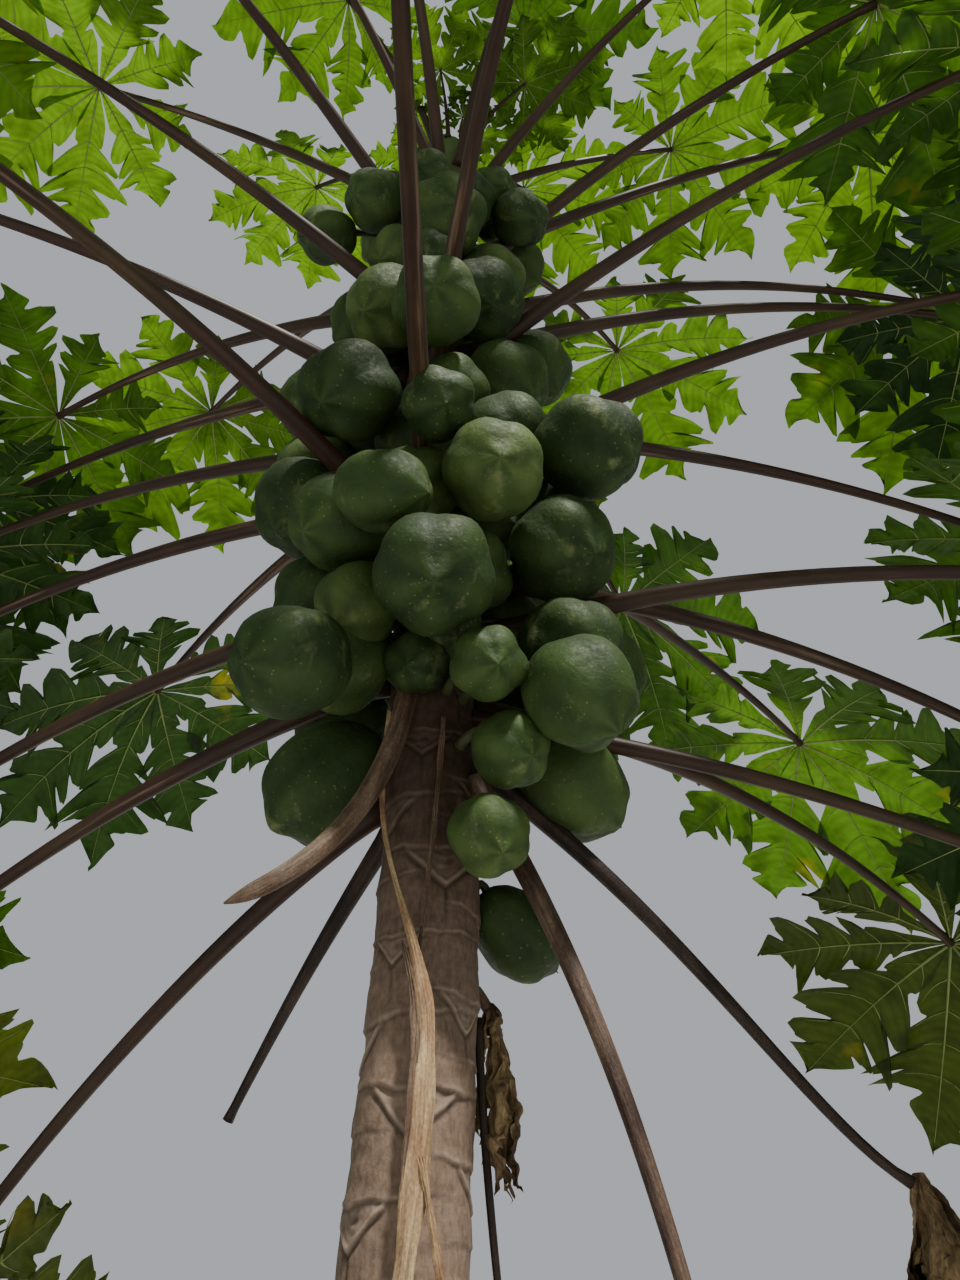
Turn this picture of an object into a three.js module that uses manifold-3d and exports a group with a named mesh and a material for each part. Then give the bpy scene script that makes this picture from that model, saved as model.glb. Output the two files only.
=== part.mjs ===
// A fruiting papaya tree: one bare stem, a column of fruit, a spiral of long-stalked lobed leaves,
// and the few dry stalks and withered leaves that hang under them. Millimetres, +Z up, the origin at
// the middle of the flat cut under the stem. A turn of 0 degrees faces -Y, and 90 faces +X.
import * as THREE from "three";
import { mergeVertices } from "three/addons/utils/BufferGeometryUtils.js";
import Module from "manifold-3d";

const wasm = await Module();
wasm.setup();

// Stem
const STEM_TOP = 3790;
const STEM_TIP_RADIUS = 32;
const STEM_SWELL = 56;
const ROOT_FLARE = 45;
const STEM_SWAY = 12;
const SWAY_LENGTH = 1600;
// Leaves
const LEAF_COUNT = 41;
const FIRST_TURN = 110;
const SPIRAL_TURN = 137.5;
const LOWEST_LEAF = 2230;
const LEAF_ZONE = 1490;
const MISSING_LEAVES = [3, 40];
const STALK_LENGTH = 1000;
const STALK_BASE = 17;
const STALK_TIP = 7;
const STALK_ARCH = 34;
const JOIN_LENGTH = 28;
const BLADE_LENGTH = 435;
const LOBES = 9;
const LOBE_STEP = 38;
const BLADE_THICK = 5;
// A lobe's edge from its neck round its tip: how far along it and how far out, as shares of its length
const LOBE_OUTLINE = [
  [0.36, -0.08], [0.62, -0.2], [0.74, -0.11], [1, 0], [0.74, 0.11], [0.62, 0.2], [0.36, 0.08],
];
// Fruit
const FRUIT_COUNT = 60;
const LOWEST_FRUIT = 2130;
const FRUIT_ZONE = 1370;
const COLUMN_REACH = 262;
const FRUITS_A_CLUSTER = 8;
const TIE_RADIUS = 5;
const TIE_REACH = 260;
const RISE_COST = 0.4;
// Clearance between neighbours
const GAP = 0.4;
const FOOT_GAP = 1;

// The oldest stalks, droopy and named one by one: turn, height, rise, length and what ends each.
const OLD_STALKS = [
  { turn: 68, height: 2088, rise: -73, arch: 22, sway: -20, length: 842, end: "withered" },
  { turn: 96, height: 2128, rise: -46, arch: 12, length: 690, end: "withered" },
  { turn: 84, height: 2190, rise: -24, arch: 22, length: 960, end: "blade" },
  { turn: -98, height: 2070, rise: -52, arch: 26, length: 820, end: "blade" },
  { turn: -128, height: 2060, rise: -52, arch: 10, length: 430, end: "bare" },
];

// The leaves of the spiral whose stalks show best from the front: number, turn and rise.
const FRONT_LEAVES = [
  [1, 256, -32], [2, 72, -10], [4, 260, -26], [5, 91, -24], [6, 322, -2], [9, 257, -14], [10, 72, 5],
  [11, 222, 0], [12, 253, -2], [13, 98, -12], [14, 293, 3], [16, 62, 8], [17, 250, -3], [18, 88, 5], [19, 152, 0],
  [20, 303, 6], [21, 94, 10], [23, 62, 16], [25, 318, 16],
];

// The fruits that show best at the front and at the foot of the column: turn, height, reach from
// the stem's axis, radius, and where they aren't round how long they are for their width. The last
// number turns a fruit's tip sideways.
const FRONT_FRUITS = [
  [115, 1915, 122, 50, 1.4],
  [35, 1978, 132, 46, 1.1],
  [97, 2120, 178, 70, 1.4],
  [40, 2085, 158, 48],
  [-98, 2112, 140, 78, 1.2],
  [-55, 2238, 142, 66],
  [22, 2168, 198, 46],
  [62, 2250, 212, 67],
  [2, 2262, 240, 74],
  [-11, 2378, 272, 54, 1.3, 75],
  [21, 2446, 252, 67],
  [53, 2556, 296, 74],
  [5, 2546, 270, 51],
  [-26, 2622, 246, 72],
  [4, 2812, 250, 67],
  [-45, 3304, 192, 58],
  [5, 3172, 180, 70],
  [52, 3270, 192, 53],
  [-8, 2222, 104, 42],
  [-34, 2296, 160, 56],
  [14, 2268, 118, 44],
  [-2, 2490, 160, 58],
];

const radians = (degrees) => (degrees * Math.PI) / 180;

// A repeatable draw from 0 to 1, one for each use and number.
function draw(use, number) {
  const value = Math.sin(use * 127.1 + number * 311.7) * 43758.5453;
  return value - Math.floor(value);
}

const stemRadius = (z) =>
  STEM_TIP_RADIUS + STEM_SWELL * (1 - (z / 3800) ** 1.15) + ROOT_FLARE * Math.exp(-z / 110);
const stemX = (z) => STEM_SWAY * Math.sin((2 * Math.PI * z) / SWAY_LENGTH);

// A skin over rings of points, each ring given lowest first and turning left seen from its far end,
// closed at both ends by a point.
function skin(rings, first, last) {
  const sides = rings[0].length;
  const points = [first, ...rings.flat(), last];
  const faces = [];
  for (let k = 0; k < sides; k += 1) {
    const next = (k + 1) % sides;
    faces.push(0, 1 + next, 1 + k);
    for (let r = 0; r < rings.length - 1; r += 1) {
      const low = 1 + r * sides;
      const high = low + sides;
      faces.push(low + k, low + next, high + next, low + k, high + next, high + k);
    }
    const top = 1 + (rings.length - 1) * sides;
    faces.push(top + k, top + next, points.length - 1);
  }
  return solid(points, faces);
}

// A closed set of triangles as a solid.
function solid(points, faces) {
  let geometry = new THREE.BufferGeometry();
  geometry.setAttribute("position", new THREE.Float32BufferAttribute(points.flatMap((p) => p.toArray()), 3));
  geometry.setIndex(faces);
  geometry = mergeVertices(geometry, 1e-4);
  const mesh = new wasm.Mesh({
    numProp: 3,
    vertProperties: new Float32Array(geometry.attributes.position.array),
    triVerts: new Uint32Array(geometry.index.array),
  });
  return new wasm.Manifold(mesh);
}

// Keeps the largest body of a solid that a cut may have left in pieces.
function largest(body) {
  const pieces = body.decompose();
  return pieces.reduce((best, piece) => (piece.volume() > best.volume() ? piece : best));
}

function boxesMeet(a, b, room = 1) {
  const p = a.boundingBox();
  const q = b.boundingBox();
  return [0, 1, 2].every((k) => p.min[k] < q.max[k] + room && q.min[k] < p.max[k] + room);
}

// A tapering tube along a row of points, grown on every side by "extra". Its section is flattened by
// "flat" across the way it bends, and it ends in the path's tip where that has one. A path with a foot
// starts square to that direction, flat on what carries it.
function tube(path, radiusAt, sides, extra = 0, flat = 1, turnAt = () => 0) {
  const end = path.length - 1;
  const points = path.map((point) => point.clone());
  points[0].addScaledVector(path.foot ?? path[1].clone().sub(path[0]).normalize(), -extra);
  points[end].addScaledVector(path[end].clone().sub(path[end - 1]).normalize(), extra);
  const rings = points.map((point, n) => {
    const before = path[Math.max(n - 1, 0)];
    const after = path[Math.min(n + 1, end)];
    const along = n === 0 && path.foot ? path.foot : after.clone().sub(before).normalize();
    const side = new THREE.Vector3(-path.side.y, path.side.x, 0).cross(along).normalize();
    const across = along.clone().cross(side);
    const radius = radiusAt(n / end);
    const ring = [];
    for (let k = 0; k < sides; k += 1) {
      const angle = (2 * Math.PI * (k + 0.5)) / sides + turnAt(n / end);
      ring.push(point.clone()
        .addScaledVector(side, (radius + 1.5 * extra) * Math.cos(angle))
        .addScaledVector(across, (radius * flat + 1.5 * extra) * Math.sin(angle)));
    }
    return ring;
  });
  return skin(rings, points[0].clone(), path.tip ?? points[end].clone());
}

// The way a stalk runs: it leaves the stem at its rise, arches over and swings a little sideways.
function stalkPath({ turn, height, rise, length, sway = 0, arch = STALK_ARCH, start = 0 }, steps) {
  const angle = radians(turn);
  const reach = stemRadius(height) + start;
  const point = new THREE.Vector3(stemX(height) + reach * Math.sin(angle), -reach * Math.cos(angle), height);
  const path = [point.clone()];
  path.side = new THREE.Vector3(Math.sin(angle), -Math.cos(angle), 0);
  for (let n = 0; n < steps; n += 1) {
    const share = (n + 0.5) / steps;
    const lift = radians(rise + arch * (0.55 - share));
    const heading = radians(turn + sway * share);
    point.x += (length / steps) * Math.sin(heading) * Math.cos(lift);
    point.y -= (length / steps) * Math.cos(heading) * Math.cos(lift);
    point.z += (length / steps) * Math.sin(lift);
    path.push(point.clone());
  }
  return path;
}

// Leaf number n of the spiral. Low leaves hang, middle ones lie level and the youngest stand up.
function spiralLeaf(n) {
  const age = n / (LEAF_COUNT - 1);
  const height = LOWEST_LEAF + LEAF_ZONE * (1 - (1 - age) ** 1.2);
  const share = (height - 2000) / 1740;
  const young = Math.max(0, (age - 0.4) / 0.6) ** 2.4;
  const size = (1 - 0.52 * young) * (0.92 + 0.16 * draw(1, n));
  const front = FRONT_LEAVES.find(([number]) => number === n);
  return {
    turn: front ? front[1] : FIRST_TURN + SPIRAL_TURN * n + 14 * (draw(4, n) - 0.5),
    height,
    rise: front ? front[2] : -36 + 46 * share ** 0.4 + 60 * share ** 6 + 12 * (draw(3, n) - 0.5),
    length: STALK_LENGTH * size,
    sway: (front ? 10 : 24) * (draw(2, n) - 0.5),
    thick: 1 - 0.45 * young,
    blade: BLADE_LENGTH * (1 - 0.3 * young) * (0.9 + 0.2 * draw(5, n)),
    roll: 40 * (draw(6, n) - 0.5),
    end: "blade",
  };
}

// The lobed blade at a stalk's end: each lobe runs from the hub to its tip, with a side tooth and a
// notch on both edges. The upper and lower skins meet at the outline.
function blade(leaf, path, extra) {
  const hub = path[path.length - 1];
  const last = hub.clone().sub(path[path.length - 2]).normalize();
  const rise = Math.asin(last.z);
  const tilt = Math.max(radians(-72), rise * 0.7 - radians(20));
  const out = new THREE.Vector3(last.x, last.y, 0).normalize();
  const forward = out.clone().multiplyScalar(Math.cos(tilt));
  forward.z = Math.sin(tilt);
  const level = new THREE.Vector3(-out.y, out.x, 0);
  const flatUp = forward.clone().cross(level);
  const roll = radians(leaf.roll ?? 0);
  const side = level.clone().multiplyScalar(Math.cos(roll)).addScaledVector(flatUp, Math.sin(roll));
  const up = forward.clone().cross(side);
  const ownLength = leaf.blade ?? BLADE_LENGTH;
  const length = ownLength + 4 * extra;
  const place = (distance, degrees, lift) => {
    const x = distance * Math.cos(radians(degrees));
    const y = distance * Math.sin(radians(degrees));
    const sag = -0.23 * distance ** 2 / ownLength;
    return hub.clone().addScaledVector(forward, x).addScaledVector(side, y).addScaledVector(up, lift + sag);
  };
  const points = [place(0, 0, BLADE_THICK + 3 * extra), place(0, 0, -BLADE_THICK - 3 * extra)];
  const edge = [];
  const ribs = [];
  const half = (LOBES - 1) / 2;
  const back = points.push(place(0.09 * length + extra, 180, 0)) - 1;
  for (let lobe = 0; lobe < LOBES; lobe += 1) {
    const from = lobe - half;
    const middle = from * LOBE_STEP;
    const reach = length * (1 - 0.42 * (Math.abs(from) / half) ** 1.7);
    const start = lobe === 0 ? back : points.push(place(0.2 * length, middle - LOBE_STEP / 2, 0)) - 1;
    const outline = LOBE_OUTLINE.map(([along, wide]) => {
      const distance = reach * Math.hypot(along, wide);
      return points.push(place(distance, middle + (Math.atan2(wide, along) * 180) / Math.PI, 0)) - 1;
    });
    edge.push([start, ...outline]);
    ribs.push(points.push(place(0.55 * reach, middle, 2 * BLADE_THICK + 3 * extra)) - 1);
  }
  const faces = [];
  edge.forEach((outline, lobe) => {
    const rib = ribs[lobe];
    const round = [...outline, lobe === LOBES - 1 ? back : edge[lobe + 1][0]];
    for (let k = 0; k < round.length - 1; k += 1) {
      faces.push(rib, round[k], round[k + 1]);
    }
    faces.push(0, round[0], rib, 0, rib, round[8]);
    for (const [a, b, c] of [[0, 1, -1], [1, 7, -1], [7, 8, -1], [1, 2, 3], [1, 3, 5], [1, 5, 7], [5, 6, 7], [3, 4, 5]]) {
      faces.push(round[a], c < 0 ? 1 : round[c], round[b]);
    }
  });
  return solid(points, faces);
}

// A withered leaf hangs from its stalk as a folded bundle of lobes.
function withered(hub, length, width, extra, seed = 0) {
  const shares = [0, 0.12, 0.4, 0.72, 1];
  const widths = [0.25, 0.8, 1, 0.75, 0.3];
  const rings = shares.map((share, n) => {
    const ring = [];
    for (let k = 0; k < 10; k += 1) {
      const angle = (2 * Math.PI * k) / 10;
      const pleat = k % 2 ? 0.62 : 1.05 + 0.3 * (draw(7 + seed, n * 10 + k) - 0.5);
      const radius = width * widths[n] * pleat + extra;
      ring.push(new THREE.Vector3(
        hub.x + radius * Math.cos(angle) + width * 0.4 * Math.sin(3 * share),
        hub.y + radius * Math.sin(angle),
        hub.z - share * length - (share === 1 ? extra : 0),
      ));
    }
    return ring.reverse();
  });
  const end = rings[rings.length - 1].reduce((sum, p) => sum.add(p), new THREE.Vector3()).multiplyScalar(0.1);
  end.z -= 0.04 * length;
  return skin(rings, hub.clone().setZ(hub.z + 8 + extra), end);
}

// One leaf: its stalk fused with the blade or the withered bundle at its end.
function leafBody(leaf, extra = 0) {
  const path = stalkPath({ ...leaf, start: FOOT_GAP }, 6);
  const thick = leaf.thick ?? 1;
  const radius = (share) => thick * (STALK_TIP + (STALK_BASE - STALK_TIP) * (1 - share) ** 1.3);
  const hub = path[path.length - 1];
  const stalk = path.slice(0, -1).concat(hub.clone().lerp(path[path.length - 2], JOIN_LENGTH / (leaf.length / 6)));
  stalk.side = path.side;
  stalk.foot = path.side;
  stalk.tip = hub.clone();
  let body = tube(stalk, radius, 4, extra);
  if (leaf.end === "blade") {
    body = body.add(blade(leaf, path, extra));
  }
  if (leaf.end === "withered") {
    body = body.add(withered(path[path.length - 1], 360, 58, extra, Math.round(leaf.turn)));
  }
  return body;
}

// The stem: a lobed root flare at the ground, a slight sway, and a rounded tip.
function stemBody(extra = 0) {
  const sides = 16;
  const heights = [0, 40, 100, 200, 380];
  for (let z = 620; z < STEM_TOP - 100; z += 340) {
    heights.push(z);
  }
  heights.push(STEM_TOP - 14, STEM_TOP);
  const rings = heights.map((z) => {
    const ring = [];
    for (let k = 0; k < sides; k += 1) {
      const angle = (2 * Math.PI * k) / sides;
      const lobes = 14 * Math.exp(-z / 90) * Math.cos(5 * angle + 0.6);
      const radius = (stemRadius(z) + lobes) * (z === STEM_TOP ? 0.6 : 1) + extra;
      ring.push(new THREE.Vector3(stemX(z) + radius * Math.cos(angle), radius * Math.sin(angle), z));
    }
    return ring;
  });
  const top = new THREE.Vector3(stemX(STEM_TOP), 0, STEM_TOP + 8);
  return skin(rings, new THREE.Vector3(0, 0, 0), top);
}

// How far the fruit column stands out from the axis at a height, measured to the fruits' middles.
function columnReach(z) {
  const low = Math.max(0, (2300 - z) / 400);
  const high = Math.max(0, (z - 2900) / 850);
  return COLUMN_REACH * (1 - 0.9 * low ** 2 - 0.65 * high ** 2);
}

// Fruits by rule: they start on the leaf spiral and settle until none touches a neighbour, a stalk
// or the stem. The fruits named for the front keep their places.
function settledFruits(stalks) {
  const fruits = FRONT_FRUITS.map(([turn, height, reach, radius, long, aside]) => ({
    at: new THREE.Vector3(stemX(height) + reach * Math.sin(radians(turn)), -reach * Math.cos(radians(turn)), height),
    radius,
    long,
    aside,
    fixed: true,
  }));
  for (let n = 0; n < FRUIT_COUNT; n += 1) {
    const share = (n + 0.5) / FRUIT_COUNT;
    const height = LOWEST_FRUIT + FRUIT_ZONE * share ** 0.92;
    const turn = radians(40 + SPIRAL_TURN * n);
    const reach = columnReach(height) * (0.72 + 0.34 * draw(11, n));
    const radius = (72 - 20 * share ** 2) * (0.86 + 0.22 * draw(12, n));
    const at = new THREE.Vector3(stemX(height) + reach * Math.sin(turn), -reach * Math.cos(turn), height);
    fruits.push({ at, radius, fixed: false });
  }
  for (let round = 0; round < 160; round += 1) {
    const moves = fruits.map(() => new THREE.Vector3());
    fruits.forEach((one, a) => {
      for (let b = a + 1; b < fruits.length; b += 1) {
        const between = fruits[b].at.clone().sub(one.at);
        const short = one.radius + fruits[b].radius + 2 - between.length();
        if (short > 0) {
          between.normalize().multiplyScalar(short / 2);
          moves[b].add(between);
          moves[a].sub(between);
        }
      }
      for (const stalk of stalks) {
        const away = one.at.clone().sub(stalk.at);
        const short = one.radius + stalk.radius + 1 - away.length();
        if (short > 0) {
          moves[a].addScaledVector(away.normalize(), short * 0.5);
        }
      }
    });
    fruits.forEach((fruit, n) => {
      if (fruit.fixed) {
        return;
      }
      const { at, radius } = fruit;
      at.addScaledVector(moves[n], 0.6);
      const out = new THREE.Vector3(at.x - stemX(at.z), at.y, 0);
      const reach = out.length();
      const least = stemRadius(at.z) + radius + 3;
      const most = columnReach(at.z) * 1.06;
      const wanted = reach < least ? least : reach > most ? reach - 0.3 * (reach - most) : reach - 0.5;
      at.addScaledVector(out.normalize(), Math.max(wanted, least) - reach);
    });
  }
  return fruits;
}

// Points down the middle of each stalk where it passes through the fruit, with its radius there.
function stalkPoints(leaves) {
  const points = [];
  for (const leaf of leaves) {
    for (const at of stalkPath(leaf, 40).slice(0, 18)) {
      points.push({ at, radius: STALK_BASE * (leaf.thick ?? 1) });
    }
  }
  return points;
}

// A fruit: round, with five soft ridges and a small point at its free end, which looks out and down.
function fruitBody({ at, radius, long = 1, aside = 0 }, extra = 0) {
  const out = new THREE.Vector3(at.x - stemX(at.z), at.y, 0).normalize();
  out.applyAxisAngle(new THREE.Vector3(0, 0, 1), radians(aside));
  const axis = out.multiplyScalar(aside ? 0.9 : 0.62).setZ(aside ? -0.43 : -0.78);
  const side = new THREE.Vector3(-axis.y, axis.x, 0).normalize();
  const other = axis.clone().cross(side);
  const size = radius + extra;
  const rings = [[-0.72, 0.68], [0, 1], [0.7, 0.72]].map(([along, wide]) => {
    const ring = [];
    for (let k = 0; k < 8; k += 1) {
      const angle = (2 * Math.PI * k) / 8;
      const reach = size * wide;
      ring.push(at.clone()
        .addScaledVector(axis, along * size * long)
        .addScaledVector(side, reach * Math.cos(angle))
        .addScaledVector(other, reach * Math.sin(angle)));
    }
    return ring;
  });
  const first = at.clone().addScaledVector(axis, -0.97 * size * long);
  const last = at.clone().addScaledVector(axis, size * long);
  return skin(rings, first, last);
}

// A short three-sided tie between two fruits of a cluster, hidden where they nearly touch.
function tie(a, b, extra) {
  const path = [a.clone(), b.clone()];
  const along = b.clone().sub(a).normalize();
  path.side = Math.abs(along.x) > 0.8 ? new THREE.Vector3(0, 1, 0) : new THREE.Vector3(-along.y, along.x + 0.01, 0);
  return tube(path, () => TIE_RADIUS + extra, 3, extra);
}

// Whether a tie between two fruits would run through a stalk, the stem or another fruit.
function crossed(one, other, blocks) {
  const along = other.at.clone().sub(one.at);
  for (let share = 0.05; share < 1; share += 0.05) {
    const point = one.at.clone().addScaledVector(along, share);
    const out = Math.hypot(point.x - stemX(point.z), point.y);
    const hit = (block) => block !== one && block !== other
      && block.at.distanceTo(point) < block.radius + TIE_RADIUS;
    if (out < stemRadius(point.z) + TIE_RADIUS || blocks.some(hit)) {
      return true;
    }
  }
  return false;
}

// Clusters of neighbouring fruits, each grown from the lowest fruit that is still free by the nearest
// one that a clear tie can reach.
function clusters(fruits, stalks) {
  const blocks = [...fruits, ...stalks];
  const free = fruits.map((_, n) => n).sort((a, b) => fruits[a].at.z - fruits[b].at.z);
  const groups = [];
  while (free.length) {
    const members = [free.shift()];
    const links = [];
    while (members.length < FRUITS_A_CLUSTER) {
      let best = { cost: TIE_REACH };
      for (const candidate of free) {
        for (const member of members) {
          const reach = fruits[candidate].radius + fruits[member].radius;
          const space = fruits[candidate].at.distanceTo(fruits[member].at) - reach;
          const cost = space + RISE_COST * (fruits[candidate].at.z - fruits[members[0]].at.z);
          if (cost < best.cost && !crossed(fruits[candidate], fruits[member], blocks)) {
            best = { cost, candidate, member };
          }
        }
      }
      if (best.candidate === undefined) {
        break;
      }
      members.push(best.candidate);
      links.push([best.member, best.candidate]);
      free.splice(free.indexOf(best.candidate), 1);
    }
    groups.push({ members, links });
  }
  return groups;
}

const LOOKS = {
  bark: { color: 0x8d7a6c, roughness: 0.8 },
  stalk: { color: 0x4a343a, roughness: 0.5 },
  leaf: { color: 0x4f8a1e, roughness: 0.6 },
  fruit: { color: 0x2c4a1e, roughness: 0.45 },
  dry: { color: 0x8a6c4c, roughness: 0.85 },
};

const tree = new THREE.Group();

function addMesh(name, body, look) {
  const { vertProperties, triVerts } = body.getMesh();
  const geometry = new THREE.BufferGeometry();
  geometry.setAttribute("position", new THREE.BufferAttribute(vertProperties, 3));
  geometry.setIndex(new THREE.BufferAttribute(triVerts, 1));
  const material = new THREE.MeshStandardMaterial({ ...LOOKS[look], metalness: 0, flatShading: true });
  const mesh = new THREE.Mesh(geometry, material);
  mesh.name = name;
  tree.add(mesh);
}

const label = (kind, number) => `${kind}_${String(number + 1).padStart(2, "0")}`;

// Cuts a body clear of the widened copies of its neighbours and keeps the largest piece.
function clearOf(body, neighbours) {
  let clear = body;
  for (const wide of neighbours) {
    if (boxesMeet(clear, wide)) {
      clear = clear.subtract(wide);
    }
  }
  return largest(clear);
}

// Stem
const wideBodies = [stemBody(GAP)];
addMesh("trunk", stemBody(), "bark");

// Leaves, the older ones first; a later leaf is cut clear of an earlier one that it would cross
const leaves = OLD_STALKS.map((leaf) => ({ ...leaf }));
for (let n = 0; n < LEAF_COUNT; n += 1) {
  if (!MISSING_LEAVES.includes(n)) {
    leaves.push(spiralLeaf(n));
  }
}
leaves.forEach((leaf, n) => {
  addMesh(label("leaf", n), clearOf(leafBody(leaf), wideBodies), leaf.end === "blade" ? "leaf" : "dry");
  wideBodies.push(leafBody(leaf, GAP));
});

// The dry stalk that curves down in front of the fruit, thick at its foot and pointed at its end
const DRY_STALK = { turn: -26, height: 2262, rise: -56, length: 520, arch: -52, sway: -14, start: GAP };
const dryStalk = (extra) =>
  tube(stalkPath(DRY_STALK, 8), (share) => 20 - 13 * share ** 2, 6, extra, 0.7);

// The dry strip that hangs down the front of the stem
function dryStrip(extra) {
  const path = [];
  for (let n = 0; n <= 12; n += 1) {
    const share = n / 12;
    const z = 2190 - 900 * share;
    const over = THREE.MathUtils.smoothstep(share, 0.08, 0.5);
    const back = THREE.MathUtils.smoothstep(share, 0.55, 0.8);
    const turn = radians(-54 + 62 * over - 5 * back);
    const reach = stemRadius(z) + 14 + 16 * Math.sin(Math.PI * share) + 10 * share;
    path.push(new THREE.Vector3(stemX(z) + reach * Math.sin(turn), -reach * Math.cos(turn), z));
  }
  path.side = new THREE.Vector3(1, 0, 0);
  const spread = (share) => THREE.MathUtils.smoothstep(share, 0.3, 0.5);
  const wide = (share) => 4 + 8 * spread(share) * (1 - 0.7 * THREE.MathUtils.smoothstep(share, 0.7, 1));
  return tube(path, wide, 4, extra, 0.4, () => Math.PI / 4);
}

// The shrivelled leaf that hangs on a thin stalk close beside the stem
const BESIDE = { turn: 112, height: 1835, rise: -60, length: 60, arch: 30, start: GAP };
function besideLeaf(extra) {
  const path = stalkPath(BESIDE, 5);
  const bundle = withered(path[path.length - 1], 205, 22, extra, 3);
  return tube(path, (share) => 8 - 3 * share, 5, extra).add(bundle);
}

for (const [name, make] of [["dry_stalk", dryStalk], ["dry_strip", dryStrip], ["withered_leaf", besideLeaf]]) {
  addMesh(name, clearOf(make(0), wideBodies), "dry");
  wideBodies.push(make(GAP));
}

// Fruit clusters, each cut clear of the stalks that pass through them and of the clusters below
const stubPoints = stalkPath(DRY_STALK, 8).map((at) => ({ at, radius: 20 }));
const blocks = [...stalkPoints(leaves), ...stubPoints];
const fruits = settledFruits(blocks);
clusters(fruits, blocks).forEach(({ members, links }, n) => {
  let body = fruitBody(fruits[members[0]]);
  let wide = fruitBody(fruits[members[0]], GAP);
  for (const member of members.slice(1)) {
    body = body.add(fruitBody(fruits[member]));
    wide = wide.add(fruitBody(fruits[member], GAP));
  }
  for (const [from, to] of links) {
    body = body.add(tie(fruits[from].at, fruits[to].at, 0));
    wide = wide.add(tie(fruits[from].at, fruits[to].at, GAP));
  }
  addMesh(label("fruit", n), clearOf(body, wideBodies), "fruit");
  wideBodies.push(wide);
});

export default tree;
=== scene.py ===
"""A fruiting papaya tree: bare scarred stem, column of green fruit, spiral crown of lobed leaves.

Metres, +Z up, the ground at z = 0 and the stem on the Z axis. A turn of 0 degrees faces -Y, 90 faces +X.
"""
import math

import bpy
import numpy as np
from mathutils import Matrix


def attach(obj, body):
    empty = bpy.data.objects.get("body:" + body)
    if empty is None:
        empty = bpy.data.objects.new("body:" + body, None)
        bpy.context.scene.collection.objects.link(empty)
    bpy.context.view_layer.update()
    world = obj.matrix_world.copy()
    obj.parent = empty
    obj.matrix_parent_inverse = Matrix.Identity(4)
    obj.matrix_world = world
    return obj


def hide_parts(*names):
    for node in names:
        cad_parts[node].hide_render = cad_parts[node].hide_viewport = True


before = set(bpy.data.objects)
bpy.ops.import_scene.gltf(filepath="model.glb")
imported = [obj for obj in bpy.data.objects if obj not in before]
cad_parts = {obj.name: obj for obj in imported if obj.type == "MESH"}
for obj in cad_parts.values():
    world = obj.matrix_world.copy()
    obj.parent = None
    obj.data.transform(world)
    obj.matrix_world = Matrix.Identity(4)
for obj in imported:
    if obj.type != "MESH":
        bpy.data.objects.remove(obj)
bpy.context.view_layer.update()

# Camera: a phone held at eye height, a step and a half from the stem and tilted well up into the
# crown, with such a phone's wide lens.
CAMERA_PLACE = (0.075, -1.15, 1.5)
CAMERA_TILT = math.radians(36)
camera = bpy.data.objects.new("camera", bpy.data.cameras.new("camera"))
camera.location = CAMERA_PLACE
camera.rotation_euler = (math.pi / 2 + CAMERA_TILT, 0, 0)
camera.data.sensor_width = 36
camera.data.lens = 27
camera.data.clip_start = 0.02
bpy.context.scene.collection.objects.link(camera)
bpy.context.scene.camera = camera


# The stem: one soft grey-brown column, flared at the ground, darkened under the fruit by a painted
# shadow and green at its tip. It carries the old leaves' scars, each a shield with a raised pale rim, in
# the same spiral as the leaves above. It is made in three lengths that meet edge to edge, so that no mesh
# is too heavy.
STEM_TOP = 3.79
STEM_TIP_RADIUS = 0.032
STEM_SWELL = 0.056
TAPER_HEIGHT = 3.8
ROOT_FLARE = 0.045
FLARE_FADE = 0.11
ROOT_RIDGE = 0.014
RIDGE_FADE = 0.09
TIP_ROUND = 0.05
STEM_SWAY = 0.012
SWAY_LENGTH = 1.6
STEM_SIDES = 170
STEM_LENGTHS = (
    ("trunk_bark_low", 0, 1.2, 480),
    ("trunk_bark_middle", 1.2, 2.3, 570),
    ("trunk_bark_high", 2.3, STEM_TOP, 150),
)
# Where the painted shadow of the fruit column begins on the stem, and the height over which it deepens.
FRUIT_SHADOW_START = 1.74
FRUIT_SHADOW_FADE = 0.32
FRESH_START = 3.50
FRESH_FADE = 0.22
SPIRAL_TURN = 137.5
SCAR_COUNT = 64
SCAR_LOW = 0.14
SCAR_HIGH = 2.27
SCAR_WIDE = 0.042
SCAR_DEEP = 0.025
BARK = (0.250, 0.175, 0.132)
BARK_SHADE = (0.140, 0.098, 0.076)
# The pale of the scars' rims and folds, also a painted highlight on their crests and fold tops.
BARK_RIM_AND_HIGHLIGHT = (0.46, 0.365, 0.29)
# A painted shadow: the bark is multiplied by this colour under the fruit.
BARK_FRUIT_SHADOW = (0.37, 0.32, 0.30)
BARK_FRESH = (0.085, 0.125, 0.040)
# Painted shade in the scars' grooves, splits and fold hollows, and the colour of their dark knots.
BARK_SCAR_SHADE_AND_MARK = (0.035, 0.024, 0.018)
BLACK = (0, 0, 0)
WHITE = (1, 1, 1)


def draw(use, number):
    """A repeatable number from 0 to 1: the fraction of a large multiple of a sine."""
    value = np.sin(use * 127.1 + number * 311.7) * 43758.5453
    return value - np.floor(value)


def ramp(value, start, over):
    """Grows evenly from 0 at the start to 1, over the given stretch."""
    return np.clip((value - start) / over, 0, 1)


def hump(gap, spread):
    """Is 1 where the gap is 0 and dies away on both sides: e to minus the square of gap by spread."""
    return np.exp(-(gap / spread) ** 2)


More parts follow.
